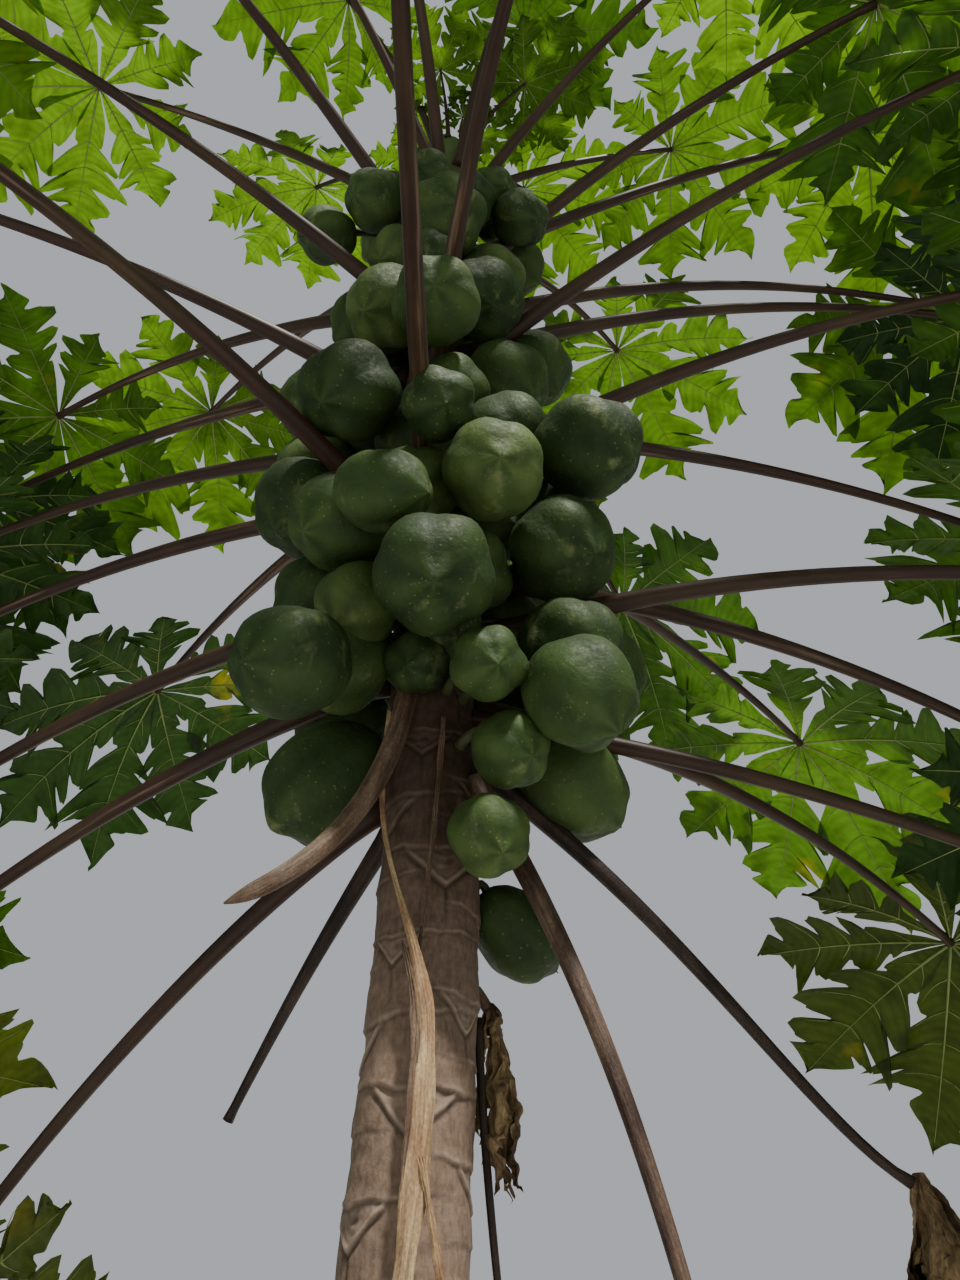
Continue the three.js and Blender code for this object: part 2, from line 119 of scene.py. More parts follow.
def stem_radius(z):
    """Tapers from the foot to the tip by a power of the height, with a flare that fades upwards."""
    taper = 1 - (np.maximum(z, 0) / TAPER_HEIGHT) ** 1.15
    return STEM_TIP_RADIUS + STEM_SWELL * taper + ROOT_FLARE * np.exp(-z / FLARE_FADE)


def stem_x(z):
    """A slight sway: a sine of the height."""
    return STEM_SWAY * np.sin(2 * np.pi * z / SWAY_LENGTH)


def tube_faces(rings, sides):
    """Quads between neighbouring rings, and a fan at each end to the two points that follow them."""
    ring = np.arange(rings - 1)[:, None] * sides
    side = np.arange(sides)[None, :]
    after = (side + 1) % sides
    quads = np.stack([ring + side, ring + after, ring + sides + after, ring + sides + side], -1)
    side, after = side[0], after[0]
    low = np.stack([np.full(sides, rings * sides), after, side], -1)
    top = (rings - 1) * sides
    high = np.stack([np.full(sides, rings * sides + 1), top + side, top + after], -1)
    return [quads.reshape(-1, 4), low, high]


def new_piece(name, verts, faces, material, slot, nodes, fields=None):
    """Puts whole arrays of points and faces into a mesh that rides on the tree and replaces its solids.

    A field is a value or a vector for each point, which the material reads by its name.
    """
    mesh = bpy.data.meshes.new(name)
    loops = np.concatenate([f.ravel() for f in faces]).astype(np.int32)
    sizes = np.concatenate([np.full(len(f), f.shape[1]) for f in faces]).astype(np.int32)
    mesh.vertices.add(len(verts))
    mesh.vertices.foreach_set("co", np.ascontiguousarray(verts, np.float32).ravel())
    mesh.loops.add(len(loops))
    mesh.loops.foreach_set("vertex_index", loops)
    mesh.polygons.add(len(sizes))
    mesh.polygons.foreach_set("loop_start", np.append(0, np.cumsum(sizes)[:-1]).astype(np.int32))
    mesh.polygons.foreach_set("loop_total", sizes)
    for label, values in (fields or {}).items():
        kind, part = ("FLOAT_VECTOR", "vector") if values.ndim == 2 else ("FLOAT", "value")
        attribute = mesh.attributes.new(label, kind, "POINT")
        attribute.data.foreach_set(part, values.astype(np.float32).ravel())
    mesh.update(calc_edges=True)
    mesh.validate()
    mesh.polygons.foreach_set("use_smooth", np.full(len(mesh.polygons), True))
    mesh.materials.append(material)
    piece = bpy.data.objects.new(name, mesh)
    bpy.context.scene.collection.objects.link(piece)
    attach(piece, "root")
    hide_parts(*nodes)


# A Mix node's colour sockets go by number, because its float and vector sockets have the same names.
MIX_FIRST, MIX_SECOND, MIX_RESULT = 6, 7, 2


def mottle_group():
    """A node group: noise on a place stretched by a vector mixes two colours and gives a height."""
    group = bpy.data.node_groups.new("mottle", "ShaderNodeTree")
    for label, kind in (("Place", "Vector"), ("Color A", "Color"), ("Color B", "Color"),
                        ("Stretch", "Vector"), ("Scale", "Float"), ("Low", "Float"), ("High", "Float")):
        group.interface.new_socket(label, in_out="INPUT", socket_type="NodeSocket" + kind)
    for label, kind in (("Color", "Color"), ("Height", "Float")):
        group.interface.new_socket(label, in_out="OUTPUT", socket_type="NodeSocket" + kind)
    nodes, links = group.nodes, group.links
    given, out = nodes.new("NodeGroupInput"), nodes.new("NodeGroupOutput")
    stretch = nodes.new("ShaderNodeVectorMath")
    stretch.operation = "MULTIPLY"
    noise = nodes.new("ShaderNodeTexNoise")
    noise.inputs["Detail"].default_value = 5
    noise.inputs["Roughness"].default_value = 0.6
    span = nodes.new("ShaderNodeMapRange")
    mix = nodes.new("ShaderNodeMix")
    mix.data_type = "RGBA"
    links.new(given.outputs["Place"], stretch.inputs[0])
    links.new(given.outputs["Stretch"], stretch.inputs[1])
    links.new(stretch.outputs[0], noise.inputs["Vector"])
    links.new(given.outputs["Scale"], noise.inputs["Scale"])
    links.new(noise.outputs["Fac"], span.inputs["Value"])
    links.new(given.outputs["Low"], span.inputs["From Min"])
    links.new(given.outputs["High"], span.inputs["From Max"])
    links.new(span.outputs["Result"], mix.inputs["Factor"])
    links.new(given.outputs["Color A"], mix.inputs[MIX_FIRST])
    links.new(given.outputs["Color B"], mix.inputs[MIX_SECOND])
    links.new(mix.outputs[MIX_RESULT], out.inputs["Color"])
    links.new(noise.outputs["Fac"], out.inputs["Height"])
    return group


mottle = mottle_group()


def mottled(material, first, second, scale, stretch=(1, 1, 1), low=0.35, high=0.65, on_grain=False):
    """Places the mottle group in a material, on the object's own axes or on the mesh's grain field."""
    node = material.node_tree.nodes.new("ShaderNodeGroup")
    node.node_tree = mottle
    place = material.node_tree.nodes.new("ShaderNodeAttribute" if on_grain else "ShaderNodeTexCoord")
    if on_grain:
        place.attribute_name = "grain"
    material.node_tree.links.new(place.outputs["Vector" if on_grain else "Object"], node.inputs["Place"])
    for label, value in (("Color A", (*first, 1)), ("Color B", (*second, 1)), ("Stretch", stretch),
                         ("Scale", scale), ("Low", low), ("High", high)):
        node.inputs[label].default_value = value
    return node


def plant_material(name, roughness, specular=0.5):
    """A new material with a Principled shader."""
    material = bpy.data.materials.new(name)
    material.use_nodes = True
    shader = material.node_tree.nodes["Principled BSDF"]
    shader.inputs["Roughness"].default_value = roughness
    shader.inputs["Specular IOR Level"].default_value = specular
    return material, shader


def colour_mix(material, factor, first, second, blend="MIX"):
    """A Mix node between two colour sockets or values by a factor socket or value."""
    mix = material.node_tree.nodes.new("ShaderNodeMix")
    mix.data_type = "RGBA"
    mix.blend_type = blend
    for place, value in ((0, factor), (MIX_FIRST, first), (MIX_SECOND, second)):
        socket = mix.inputs[place]
        if isinstance(value, bpy.types.NodeSocket):
            material.node_tree.links.new(value, socket)
        elif isinstance(value, tuple):
            socket.default_value = (*value, 1)
        else:
            socket.default_value = value
    return mix.outputs[MIX_RESULT]


def bumps(material, shader, layers):
    """Chains Bump nodes, one for each (height socket, distance in metres, strength)."""
    normal = None
    for height, distance, strength in layers:
        bump = material.node_tree.nodes.new("ShaderNodeBump")
        bump.inputs["Distance"].default_value = distance
        bump.inputs["Strength"].default_value = strength
        material.node_tree.links.new(height, bump.inputs["Height"])
        if normal is not None:
            material.node_tree.links.new(normal, bump.inputs["Normal"])
        normal = bump.outputs["Normal"]
    material.node_tree.links.new(normal, shader.inputs["Normal"])


def field(material, name):
    """The value of a mesh field at each point of the surface."""
    node = material.node_tree.nodes.new("ShaderNodeAttribute")
    node.attribute_name = name
    return node.outputs["Fac"]


def scar(n, z, a):
    """The relief of scar n, its pale colour with painted highlight and its painted shade and dark knot, at
    each height and turn of the stem.

    Its top edge is a line that runs on round the stem. Its lower edge is a V that drops from both
    ends of the shield to a point. Faint folds lie between the two round a dark knot, a cushion with a
    pale crest swells above the top edge, a raised rim follows the V with a groove under it, and a
    split runs down from the point. The groove, the step under the top edge, the split and the folds'
    hollows are darkened as painted shade, and the crest and the folds' tops are lightened as painted
    highlight.
    """
    middle = SCAR_LOW + (SCAR_HIGH - SCAR_LOW) * (n / SCAR_COUNT) ** 1.02
    facing = math.radians(20 + SPIRAL_TURN * n) - math.pi / 2
    size = 0.75 + 0.5 * draw(31, n)
    across = (np.mod(a - facing + np.pi, 2 * np.pi) - np.pi) * stem_radius(middle) / (SCAR_WIDE * size)
    up = (z - middle) / (SCAR_DEEP * size) - 0.25 * across * (draw(32, n) - 0.5)
    up = up + 0.07 * np.sin(4 * across + 9 * draw(34, n)) + 0.03 * np.sin(11 * across + 5 * draw(35, n))
    wing = np.abs(across)
    near = (up > -4) & (up < 4)
    top = 0.50 + 0.12 * wing
    vee = -1 + 1.55 * np.minimum(wing, 1.15) ** (0.85 + 0.35 * draw(36, n))
    within = np.clip((top - up) * 5, 0, 1) * np.clip((up - vee) * 5, 0, 1) * (wing < 1)
    end = np.where(wing < 0.85, 1, hump(wing - 0.85, 0.22))
    ring = np.where(wing < 1, 1, hump(wing - 1, 0.6 + 2.6 * draw(37, n)))
    rim = hump(up - vee, 0.13) * end
    # The groove under the rim and the step under the top edge are darkened as painted shade.
    groove = hump(up - vee + 0.27, 0.14) * end
    step = hump(up - top + 0.10, 0.09) * ring
    cushion = np.exp(-np.maximum(up - top, 0) / 1.1) * np.clip((up - top) * 6 + 0.5, 0, 1) * ring
    ruffle = 2.2 * np.sin(3.1 * across + 6 * draw(40, n)) + 1.3 * np.sin(7.3 * across + 6 * draw(41, n))
    folds = within * np.sin((9 + 9 * draw(42, n)) * (up - 0.12 * vee) + 1.5 * ruffle)
    folds = folds * (0.5 + 0.5 * np.sin(4.3 * across + 6 * draw(39, n)))
    # The crest's pale is a painted highlight along the ridge above the scar.
    crest = hump(up - top - 0.06, 0.10) * ring
    crest = crest * (0.6 + 0.4 * np.sin(5 * across + 6 * draw(43, n)))
    knot = hump(across - 0.1, 0.15) * hump(up + 0.05, 0.20) * (draw(44, n) > 0.3)
    # The split is darkened as painted shade in its hollow.
    split = hump(across, 0.05) * np.clip(-2 * (up + 1), 0, 1) * np.clip(3.2 + up, 0, 1)
    relief = 0.0024 * cushion + 0.0018 * rim - 0.0016 * groove - 0.0012 * split + 0.0004 * folds
    relief = relief + 0.0008 * crest - 0.0010 * knot - 0.0007 * within * (1 - rim)
    # Pale rims and folds, lighter on the fold tops as painted highlight, and the crest's painted highlight.
    pale = np.maximum(rim * (0.28 + 0.42 * draw(38, n)), within * (0.16 + 0.12 * np.maximum(folds, 0)))
    pale = np.maximum(pale, 0.34 * crest)
    # Painted shade in the groove, under the top edge, in the split and in the folds' hollows, with the dark
    # knot.
    dark = np.maximum(0.75 * groove, np.maximum(0.6 * split, 0.55 * step))
    dark = np.maximum(dark + 0.12 * within * np.maximum(-folds, 0), 0.6 * knot)
    return near * relief, near * pale, near * dark


def stem_skin(height, sides):
    """A length of the stem: radius by height plus root lobes, wrinkles, and a relief for each scar."""
    turn = np.linspace(0, 2 * np.pi, sides, endpoint=False)
    z, a = np.meshgrid(height, turn, indexing="ij")
    radius = stem_radius(z) + ROOT_RIDGE * np.exp(-z / RIDGE_FADE) * np.cos(5 * a + 0.6)
    rim = np.zeros_like(z)
    scar_shade_and_marks = np.zeros_like(z)
    relief = 0.0012 * np.sin(z * 52 + 1.5 * np.sin(2 * a + 1)) + 0.002 * np.sin(2 * a + 3 * z)
    relief += 0.0004 * np.sin(z * 240 + 2 * np.sin(3 * a)) * (0.5 + 0.5 * np.sin(z * 31 + 2 * a))
    for n in range(SCAR_COUNT):
        raised, pale, dark = scar(n, z, a)
        relief += raised
        rim = np.maximum(rim, pale)
        scar_shade_and_marks = np.maximum(scar_shade_and_marks, dark)
    tip = ramp(z, STEM_TOP - TIP_ROUND, TIP_ROUND)
    radius = (radius + relief) * np.sqrt(1 - 0.96 * tip ** 2)
    verts = np.stack([stem_x(z) + radius * np.cos(a), radius * np.sin(a), z], -1).reshape(-1, 3)
    low, high = height[0], height[-1]
    ends = np.array([[stem_x(low), 0, low], [stem_x(high), 0, high + 0.004 * (high == STEM_TOP)]])
    # The painted shadow of the fruit: nothing at its start, full at the end of its fade.
    stain = ramp(z, FRUIT_SHADOW_START, FRUIT_SHADOW_FADE)
    fresh = ramp(z, FRESH_START, FRESH_FADE)
    fields = {name: np.append(values.ravel(), np.zeros(2)) for name, values in
              (("rim", rim), ("scar_shade_and_marks", np.minimum(scar_shade_and_marks, 1)), ("stain", stain), ("fresh", fresh))}
    return np.concatenate([verts, ends]), tube_faces(len(height), sides), fields


# The bark's colour, layer by layer: broad patches, a fine grain and thin lines across, then the scars'
# pale rims with a painted highlight on their crests and fold tops, painted shade in their grooves, under
# their top edges, in their splits and fold hollows, and their dark knots, and over all of them a painted
# shadow under the fruit and the green of the tip.
bark, bark_shader = plant_material("bark", 0.78, 0.3)
bark_base = mottled(bark, BARK_SHADE, BARK, 4.5, (1, 1, 0.7), 0.3, 0.62)
bark_fine = mottled(bark, (0.70, 0.67, 0.64), (1.06, 1.05, 1.04), 150, (1, 1, 0.5), 0.36, 0.6)
bark_lines = mottled(bark, (0.84, 0.82, 0.80), (1.05, 1.05, 1.05), 8, (1, 1, 9), 0.35, 0.65)
bark_speck = mottled(bark, BLACK, WHITE, 260, (1, 1, 0.8), 0.4, 0.7)
bark_colour = colour_mix(bark, 1.0, bark_base.outputs["Color"], bark_fine.outputs["Color"], "MULTIPLY")
bark_colour = colour_mix(bark, 1.0, bark_colour, bark_lines.outputs["Color"], "MULTIPLY")
# The scars' pale rims, with painted highlight on their crests and fold tops.
bark_colour = colour_mix(bark, field(bark, "rim"), bark_colour, BARK_RIM_AND_HIGHLIGHT)
# Painted shade in the scars' grooves, under their top edges, in their splits and fold hollows, and their dark
# knots.
bark_colour = colour_mix(bark, field(bark, "scar_shade_and_marks"), bark_colour, BARK_SCAR_SHADE_AND_MARK)
# Painted shadow under the fruit.
bark_stained = colour_mix(bark, 1.0, bark_colour, BARK_FRUIT_SHADOW, "MULTIPLY")
bark_colour = colour_mix(bark, field(bark, "stain"), bark_colour, bark_stained)
bark_colour = colour_mix(bark, field(bark, "fresh"), bark_colour, BARK_FRESH)
bark.node_tree.links.new(bark_colour, bark_shader.inputs["Base Color"])
bumps(bark, bark_shader, [
    (bark_lines.outputs["Height"], 0.0016, 0.3),
    (bark_speck.outputs["Height"], 0.0012, 0.7),
])
for name, low, high, rows in STEM_LENGTHS:
    stem_points, stem_faces, stem_fields = stem_skin(np.linspace(low, high, rows), STEM_SIDES)
    new_piece(name, stem_points, stem_faces, bark, "bark", ["trunk"], stem_fields)


# Leaf stalks: long hollow stems, purple-brown and satin, a thumb thick where they leave the stem and
# arching out to the blade. They follow one spiral, low ones hanging and the youngest standing up. Some
# are set by turn and rise as seen from the front, and a few short ones crowd at the growing tip.
LEAF_COUNT = 41
MISSING_LEAVES = (3, 40)
LOWEST_LEAF = 2.23
LEAF_ZONE = 1.49
SHOOT_COUNT = 6
SHOOT_NUMBER = 60
FIRST_TURN = 110
STALK_STEPS = 26
STALK_SIDES = 14
STALK_ARCH = 34
STALK_BASE = 0.017
STALK_TIP = 0.007
BLADE_LENGTH = 0.435
STALK = (0.033, 0.016, 0.011)
STALK_GREEN = (0.058, 0.040, 0.018)
STALK_WORN = (0.150, 0.095, 0.060)
OLD_STALKS = [
    dict(turn=68, height=2.088, rise=-73, arch=22, sway=-20, length=0.842, end="withered"),
    dict(turn=96, height=2.128, rise=-46, arch=12, length=0.69, end="withered", sag=0.026),
    dict(turn=84, height=2.190, rise=-24, arch=22, length=0.96, end="blade"),
    dict(turn=-98, height=2.070, rise=-52, arch=26, length=0.82, end="blade"),
    dict(turn=-128, height=2.060, rise=-52, arch=10, length=0.43, end="bare"),
]
FRONT_LEAVES = {
    1: (256, -32), 2: (72, -10), 4: (260, -26), 5: (91, -24), 6: (322, -2), 9: (257, -14), 10: (72, 5),
    11: (222, 0), 12: (253, -2), 13: (98, -12), 14: (293, 3), 16: (62, 8), 17: (250, -3), 18: (88, 5),
    19: (152, 0), 20: (303, 6), 21: (94, 10), 23: (62, 16), 25: (318, 16),
}


def spiral_leaf(n):
    """Leaf n of the spiral: its turn by the golden angle, its rise and sizes by its age, with small draws."""
    age = n / (LEAF_COUNT - 1)
    height = LOWEST_LEAF + LEAF_ZONE * (1 - (1 - age) ** 1.2)
    share = (height - 2.0) / 1.74
    young = max(0, (age - 0.4) / 0.6) ** 2.4
    size = (1 - 0.52 * young) * (0.92 + 0.16 * draw(1, n))
    turn = FIRST_TURN + SPIRAL_TURN * n + 14 * (draw(4, n) - 0.5)
    rise = -36 + 46 * share ** 0.4 + 60 * share ** 6 + 12 * (draw(3, n) - 0.5)
    turn, rise = FRONT_LEAVES.get(n, (turn, rise))
    return dict(
        turn=turn,
        height=height,
        rise=rise,
        length=size,
        sway=(10 if n in FRONT_LEAVES else 24) * (draw(2, n) - 0.5),
        thick=1 - 0.45 * young,
        blade=BLADE_LENGTH * (1 - 0.3 * young) * (0.9 + 0.2 * draw(5, n)),
        roll=40 * (draw(6, n) - 0.5),
        end="blade",
        age=age,
    )


def shoot_leaf(k):
    """Young leaf k at the growing tip: each is higher, steeper and smaller than the one before."""
    return dict(
        turn=70 + SPIRAL_TURN * k,
        height=3.745 + 0.006 * k,
        rise=52 + 6 * k,
        length=0.26 - 0.036 * k,
        thick=0.44 - 0.04 * k,
        blade=0.20 - 0.026 * k,
        end="blade",
        age=1,
    )


def stalk_path(leaf, steps, start=0.0004):
    """Points along a stalk: even steps whose lift falls and whose heading swings with the share run.

    The first point lies on the stem's skin, a start's length off it.
    """
    turn = math.radians(leaf["turn"])
    share = (np.arange(steps) + 0.5) / steps
    lift = np.radians(leaf["rise"] + leaf.get("arch", STALK_ARCH) * (0.55 - share))
    heading = np.radians(leaf["turn"] + leaf.get("sway", 0) * share)
    step = leaf["length"] / steps
    level = np.cos(lift)
    moves = step * np.stack([np.sin(heading) * level, -np.cos(heading) * level, np.sin(lift)], -1)
    height = leaf["height"]
    reach = stem_radius(height) + start
    foot = np.array([stem_x(height) + reach * math.sin(turn), -reach * math.cos(turn), height])
    return np.concatenate([foot[None], foot + np.cumsum(moves, 0)])


def sweep(path, radius, sides, flat=1.0, facing=None):
    """Carries a round or flattened section along a path, square to it, and closes both ends with a point."""
    along = np.gradient(path, axis=0)
    along /= np.linalg.norm(along, axis=1)[:, None]
    facing = path[-1] - path[0] if facing is None else np.asarray(facing, float)
    side = np.cross(np.array([-facing[1], facing[0], 0.0]), along)
    side /= np.linalg.norm(side, axis=1)[:, None]
    across = np.cross(along, side)
    angle = 2 * np.pi * (np.arange(sides) + 0.5) / sides
    section = np.cos(angle)[None, :, None] * side[:, None]
    section = section + flat * np.sin(angle)[None, :, None] * across[:, None]
    radius = radius[:, None, None] if radius.ndim == 1 else radius[..., None]
    rings = path[:, None] + radius * section
    verts = np.concatenate([rings.reshape(-1, 3), path[:1], path[-1:]])
    return verts, tube_faces(len(path), sides)


def grain(path, sides):
    """Places that run with a stalk: round it on a small circle, and along it by the length so far."""
    along = np.append(0, np.cumsum(np.linalg.norm(np.diff(path, axis=0), axis=1)))
    angle = 2 * np.pi * (np.arange(sides) + 0.5) / sides
    ring = np.stack([0.01 * np.cos(angle), 0.01 * np.sin(angle), 0 * angle], -1)
    ring = ring[None] + along[:, None, None] * np.array([0, 0, 1.0]) + 3 * path[0]
    return np.concatenate([ring.reshape(-1, 3), ring[:1, 0], ring[-1:, 0]])


def rod(path, radius, sides, flat=1.0):
    """A swept stalk together with its grain."""
    return sweep(path, radius, sides, flat), grain(path, sides)


def ripples(points, waves, seed):
    """A smooth uneven field from -1 to 1: the mean of a few sines along fixed slanting directions."""
    total = 0
    for n in range(5):
        way = np.array([draw(seed, n), draw(seed + 1, n), draw(seed + 2, n)]) - 0.5
        way *= waves * (0.7 + 0.3 * n) / np.linalg.norm(way)
        total = total + np.sin(points @ way + 6.28 * draw(seed + 3, n))
    return total / 5


def joined(parts):
    """Joins (points, faces) parts into one set of arrays."""
    verts, faces, count = [], {}, 0
    for points, groups in parts:
        for group in groups:
            faces.setdefault(group.shape[1], []).append(group + count)
        verts.append(points)
        count += len(points)
    return np.concatenate(verts), [np.concatenate(group) for group in faces.values()]


def new_group(name, parts, material, slot, nodes, label="grain"):
    """Joins parts, each given as its (points, faces) and the field on its points, into one piece."""
    shapes, values = zip(*parts)
    new_piece(name, *joined(shapes), material, slot, nodes, {label: np.concatenate(values)})


leaves = [dict(leaf) for leaf in OLD_STALKS]
leaves += [spiral_leaf(n) for n in range(LEAF_COUNT) if n not in MISSING_LEAVES]
leaf_nodes = [f"leaf_{n + 1:02d}" for n in range(len(leaves))]
shoots = [shoot_leaf(k) for k in range(SHOOT_COUNT)]
for leaf in leaves + shoots:
    coarse = stalk_path(leaf, 6)
    leaf["hub"] = coarse[-1]
    leaf["last"] = (coarse[-1] - coarse[-2]) / np.linalg.norm(coarse[-1] - coarse[-2])


def stalk(leaf, number):
    """A stalk's skin and grain: it thins by a power of the share, swells at its foot and at the blade.

    Its line is drawn to the hub and waves a little. On one old leaf it sags before its end, by a power
    of the share that is 1 at its deepest. Its section has seven faint ridges and is oval near the stem.
    """
    path = stalk_path(leaf, STALK_STEPS)
    share = np.linspace(0, 1, len(path))
    path += share[:, None] ** 3 * (leaf["hub"] - path[-1])
    path[:, 2] -= leaf.get("sag", 0) * 12.2 * share ** 4 * (1 - share)
    path += 0.003 * ripples(path, 16, 40 + number % 9)[:, None] * (share * (1 - share))[:, None]
    radius = STALK_TIP + (STALK_BASE - STALK_TIP) * (1 - share) ** 1.3
    radius = radius * (1 + 0.35 * hump(share, 0.035) + 0.25 * hump(1 - share, 0.02))
    turn = 2 * np.pi * (np.arange(STALK_SIDES) + 0.5) / STALK_SIDES
    ribbed = 1 + 0.02 * np.cos(7 * turn)[None] + 0.05 * np.cos(2 * turn + 1)[None] * (1 - share)[:, None]
    return rod(path, leaf.get("thick", 0.84) * radius[:, None] * ribbed, STALK_SIDES)


living = [n for n, leaf in enumerate(leaves) if leaf["end"] == "blade"]
dead = [n for n, leaf in enumerate(leaves) if leaf["end"] != "blade"]
living_nodes = [leaf_nodes[n] for n in living]
grown = [(leaves[n], n) for n in living]
young = [(leaf, SHOOT_NUMBER + k) for k, leaf in enumerate(shoots)]
stalk_skin, stalk_shader = plant_material("stalk_skin", 0.46, 0.26)
stalk_tone = mottled(stalk_skin, STALK, STALK_GREEN, 5, (1, 1, 1), 0.45, 0.8)
stalk_streak = mottled(stalk_skin, (0.5, 0.45, 0.45), (1.6, 1.4, 1.35), 110, (1, 1, 0.08), 0.35, 0.7, True)
stalk_wear = mottled(stalk_skin, BLACK, WHITE, 75, (1, 1, 0.035), 0.60, 0.70, True)
stalk_colour = stalk_tone.outputs["Color"]
stalk_colour = colour_mix(stalk_skin, 0.6, stalk_colour, stalk_streak.outputs["Color"], "MULTIPLY")
stalk_colour = colour_mix(stalk_skin, stalk_wear.outputs["Color"], stalk_colour, STALK_WORN)
stalk_skin.node_tree.links.new(stalk_colour, stalk_shader.inputs["Base Color"])
bumps(stalk_skin, stalk_shader, [(stalk_streak.outputs["Height"], 0.0008, 0.4)])
new_group("leaf_stalks", [stalk(*one) for one in grown + young], stalk_skin, "leaf", living_nodes)


# Leaf blades: nine main lobes round the hub, each cut again into pointed side lobes that look forward,
# with a small tooth on each. Thin soft sheets that glow yellow-green with light behind them, in four
# tints by leaf, of which the deep tint is a painted shade. A lobe's half width goes by the share of its
# length, and a notch has a share and a depth.
LOBES = 9
LOBE_STEP = 38
BLADE_ROWS = 27
BLADE_COLUMNS = 9
LOBE_SHARES = (0, 0.10, 0.20, 0.27, 0.34, 0.42, 0.52, 0.62, 0.72, 0.82, 0.92, 1)
LOBE_WIDTHS = (0, 0.048, 0.095, 0.125, 0.160, 0.212, 0.268, 0.290, 0.256, 0.176, 0.072, 0)
NOTCHES = ((0.335, 0.46), (0.50, 0.58), (0.66, 0.60), (0.80, 0.50))
NOTCH_WIDE = 0.018
NOTCH_ROWS = (-0.036, -0.024, -0.012, 0, 0.012, 0.024, 0.036)
LOBES_PART = 0.235
# The deep tint is a painted shade: a darker copy of the green, dealt to older, lower leaves.
BLADE_TINTS = {
    "bright": (0.100, 0.225, 0.012),
    "green": (0.060, 0.150, 0.012),
    "deep": (0.026, 0.072, 0.012),
    "olive": (0.078, 0.112, 0.016),
}
BLADE_AGED = (0.235, 0.215, 0.018)
BLADE_THROUGH = (1.55, 1.5, 0.5)


def blade_frame(leaf):
    """The blade's forward, side and up directions at the hub.

    Forward goes on from the stalk's end and tilts down, by 72 degrees at most, and the rest is rolled.
    """
    rise = math.asin(leaf["last"][2])
    tilt = max(math.radians(-72), rise * 0.7 - math.radians(20))
    out = leaf["last"] * [1, 1, 0]
    out /= np.linalg.norm(out)
    forward = out * math.cos(tilt) + [0, 0, math.sin(tilt)]
    level = np.array([-out[1], out[0], 0])
    roll = math.radians(leaf.get("roll", 0))
    side = level * math.cos(roll) + np.cross(forward, level) * math.sin(roll)
    return forward, side, np.cross(forward, side)


def blade_points(leaf, number, lobe, share, wide):
    """A point of a lobe, by its share of the length and its share of the half width there.

    The half width runs through the lobe's own widths and is cut at each notch; between two notches it
    comes to a tip, with a tooth behind it. The edge is pushed forward, more or less along each side.
    The sheet sags with the square of the distance, arches over the midrib, and dips at the notches.
    """
    forward, side, up = blade_frame(leaf)
    length = leaf.get("blade", BLADE_LENGTH)
    half = (LOBES - 1) / 2
    off = abs(lobe - half) / half
    own = LOBES * number + lobe
    reach = length * (1 - 0.42 * off ** 1.7) * (0.94 + 0.12 * draw(51, own))
    width = np.interp(share, LOBE_SHARES, LOBE_WIDTHS) * (0.92 + 0.16 * draw(53, own))
    places = [place for place, _ in NOTCHES]
    between = np.interp(share, (0.05, *places, 1.12), range(len(places) + 2)) % 1
    tip = 1 - 0.80 * np.abs(between - 0.42) ** 1.35 - 0.08 * np.exp(-(np.abs(between - 0.72) / 0.06) ** 1.5)
    cut = 1 + ramp(share, 0.24, 0.05) * (tip - 0.98)
    edge = np.sign(wide)
    for k, (place, depth) in enumerate(NOTCHES):
        deep = depth * (0.86 + 0.26 * np.sin(6.28 * draw(66, 4 * own + k) + 1.6 * edge))
        cut = cut * (1 - deep * hump(share - place, NOTCH_WIDE))
    sway = np.sin(9 * share + 6.28 * draw(58, own) + 2 * edge)
    width = width * cut * (1 + 0.18 * np.sin(14 * share + 6.28 * draw(59, own) - 3 * edge))
    root = share * math.tan(math.radians(LOBE_STEP / 2)) * reach / length
    near = np.clip((LOBES_PART * length / reach - share) / 0.04, 0, 1)
    width = width * (1 - near) + 1.12 * np.minimum(root, 0.2) * near
    width = np.where(share >= 1, 0, width)
    push = 0.74 * width * np.abs(wide) ** 1.4 * (1 - share) ** 0.4 + 0.050 * np.abs(wide) * sway
    x = reach * (share + (1 - near) * push)
    y = reach * width * wide
    angle = math.radians((lobe - half) * LOBE_STEP + 5 * (draw(54, own) - 0.5))
    distance = np.hypot(x, y)
    across = x * math.sin(angle) + y * math.cos(angle)
    out = x * math.cos(angle) - y * math.sin(angle)
    free = 1 - near
    lift = -0.23 * distance ** 2 / length
    lift = lift + (0.26 * np.abs(y) - 1.6 * y ** 2 / length) * (0.4 + 0.6 * free)
    lift = lift - free * 0.005 * np.abs(wide) * np.cos(2 * np.pi * between)
    lift = lift + 0.006 * np.sin(34 * share + 9 * wide + 6 * draw(55, own)) * np.abs(wide) * share
    lift = lift - 0.15 * length * share ** 2 * (draw(56, own) - 0.25)
    lift = lift + 0.5 * y * (draw(57, own) - 0.5) * share
    return leaf["hub"] + out[..., None] * forward + across[..., None] * side + lift[..., None] * up


def sheet_faces(rows, columns):
    """Quads between the neighbouring points of a grid."""
    first = (np.arange(rows - 1)[:, None] * columns + np.arange(columns - 1)[None]).ravel()
    return np.stack([first, first + columns, first + columns + 1, first + 1], -1)


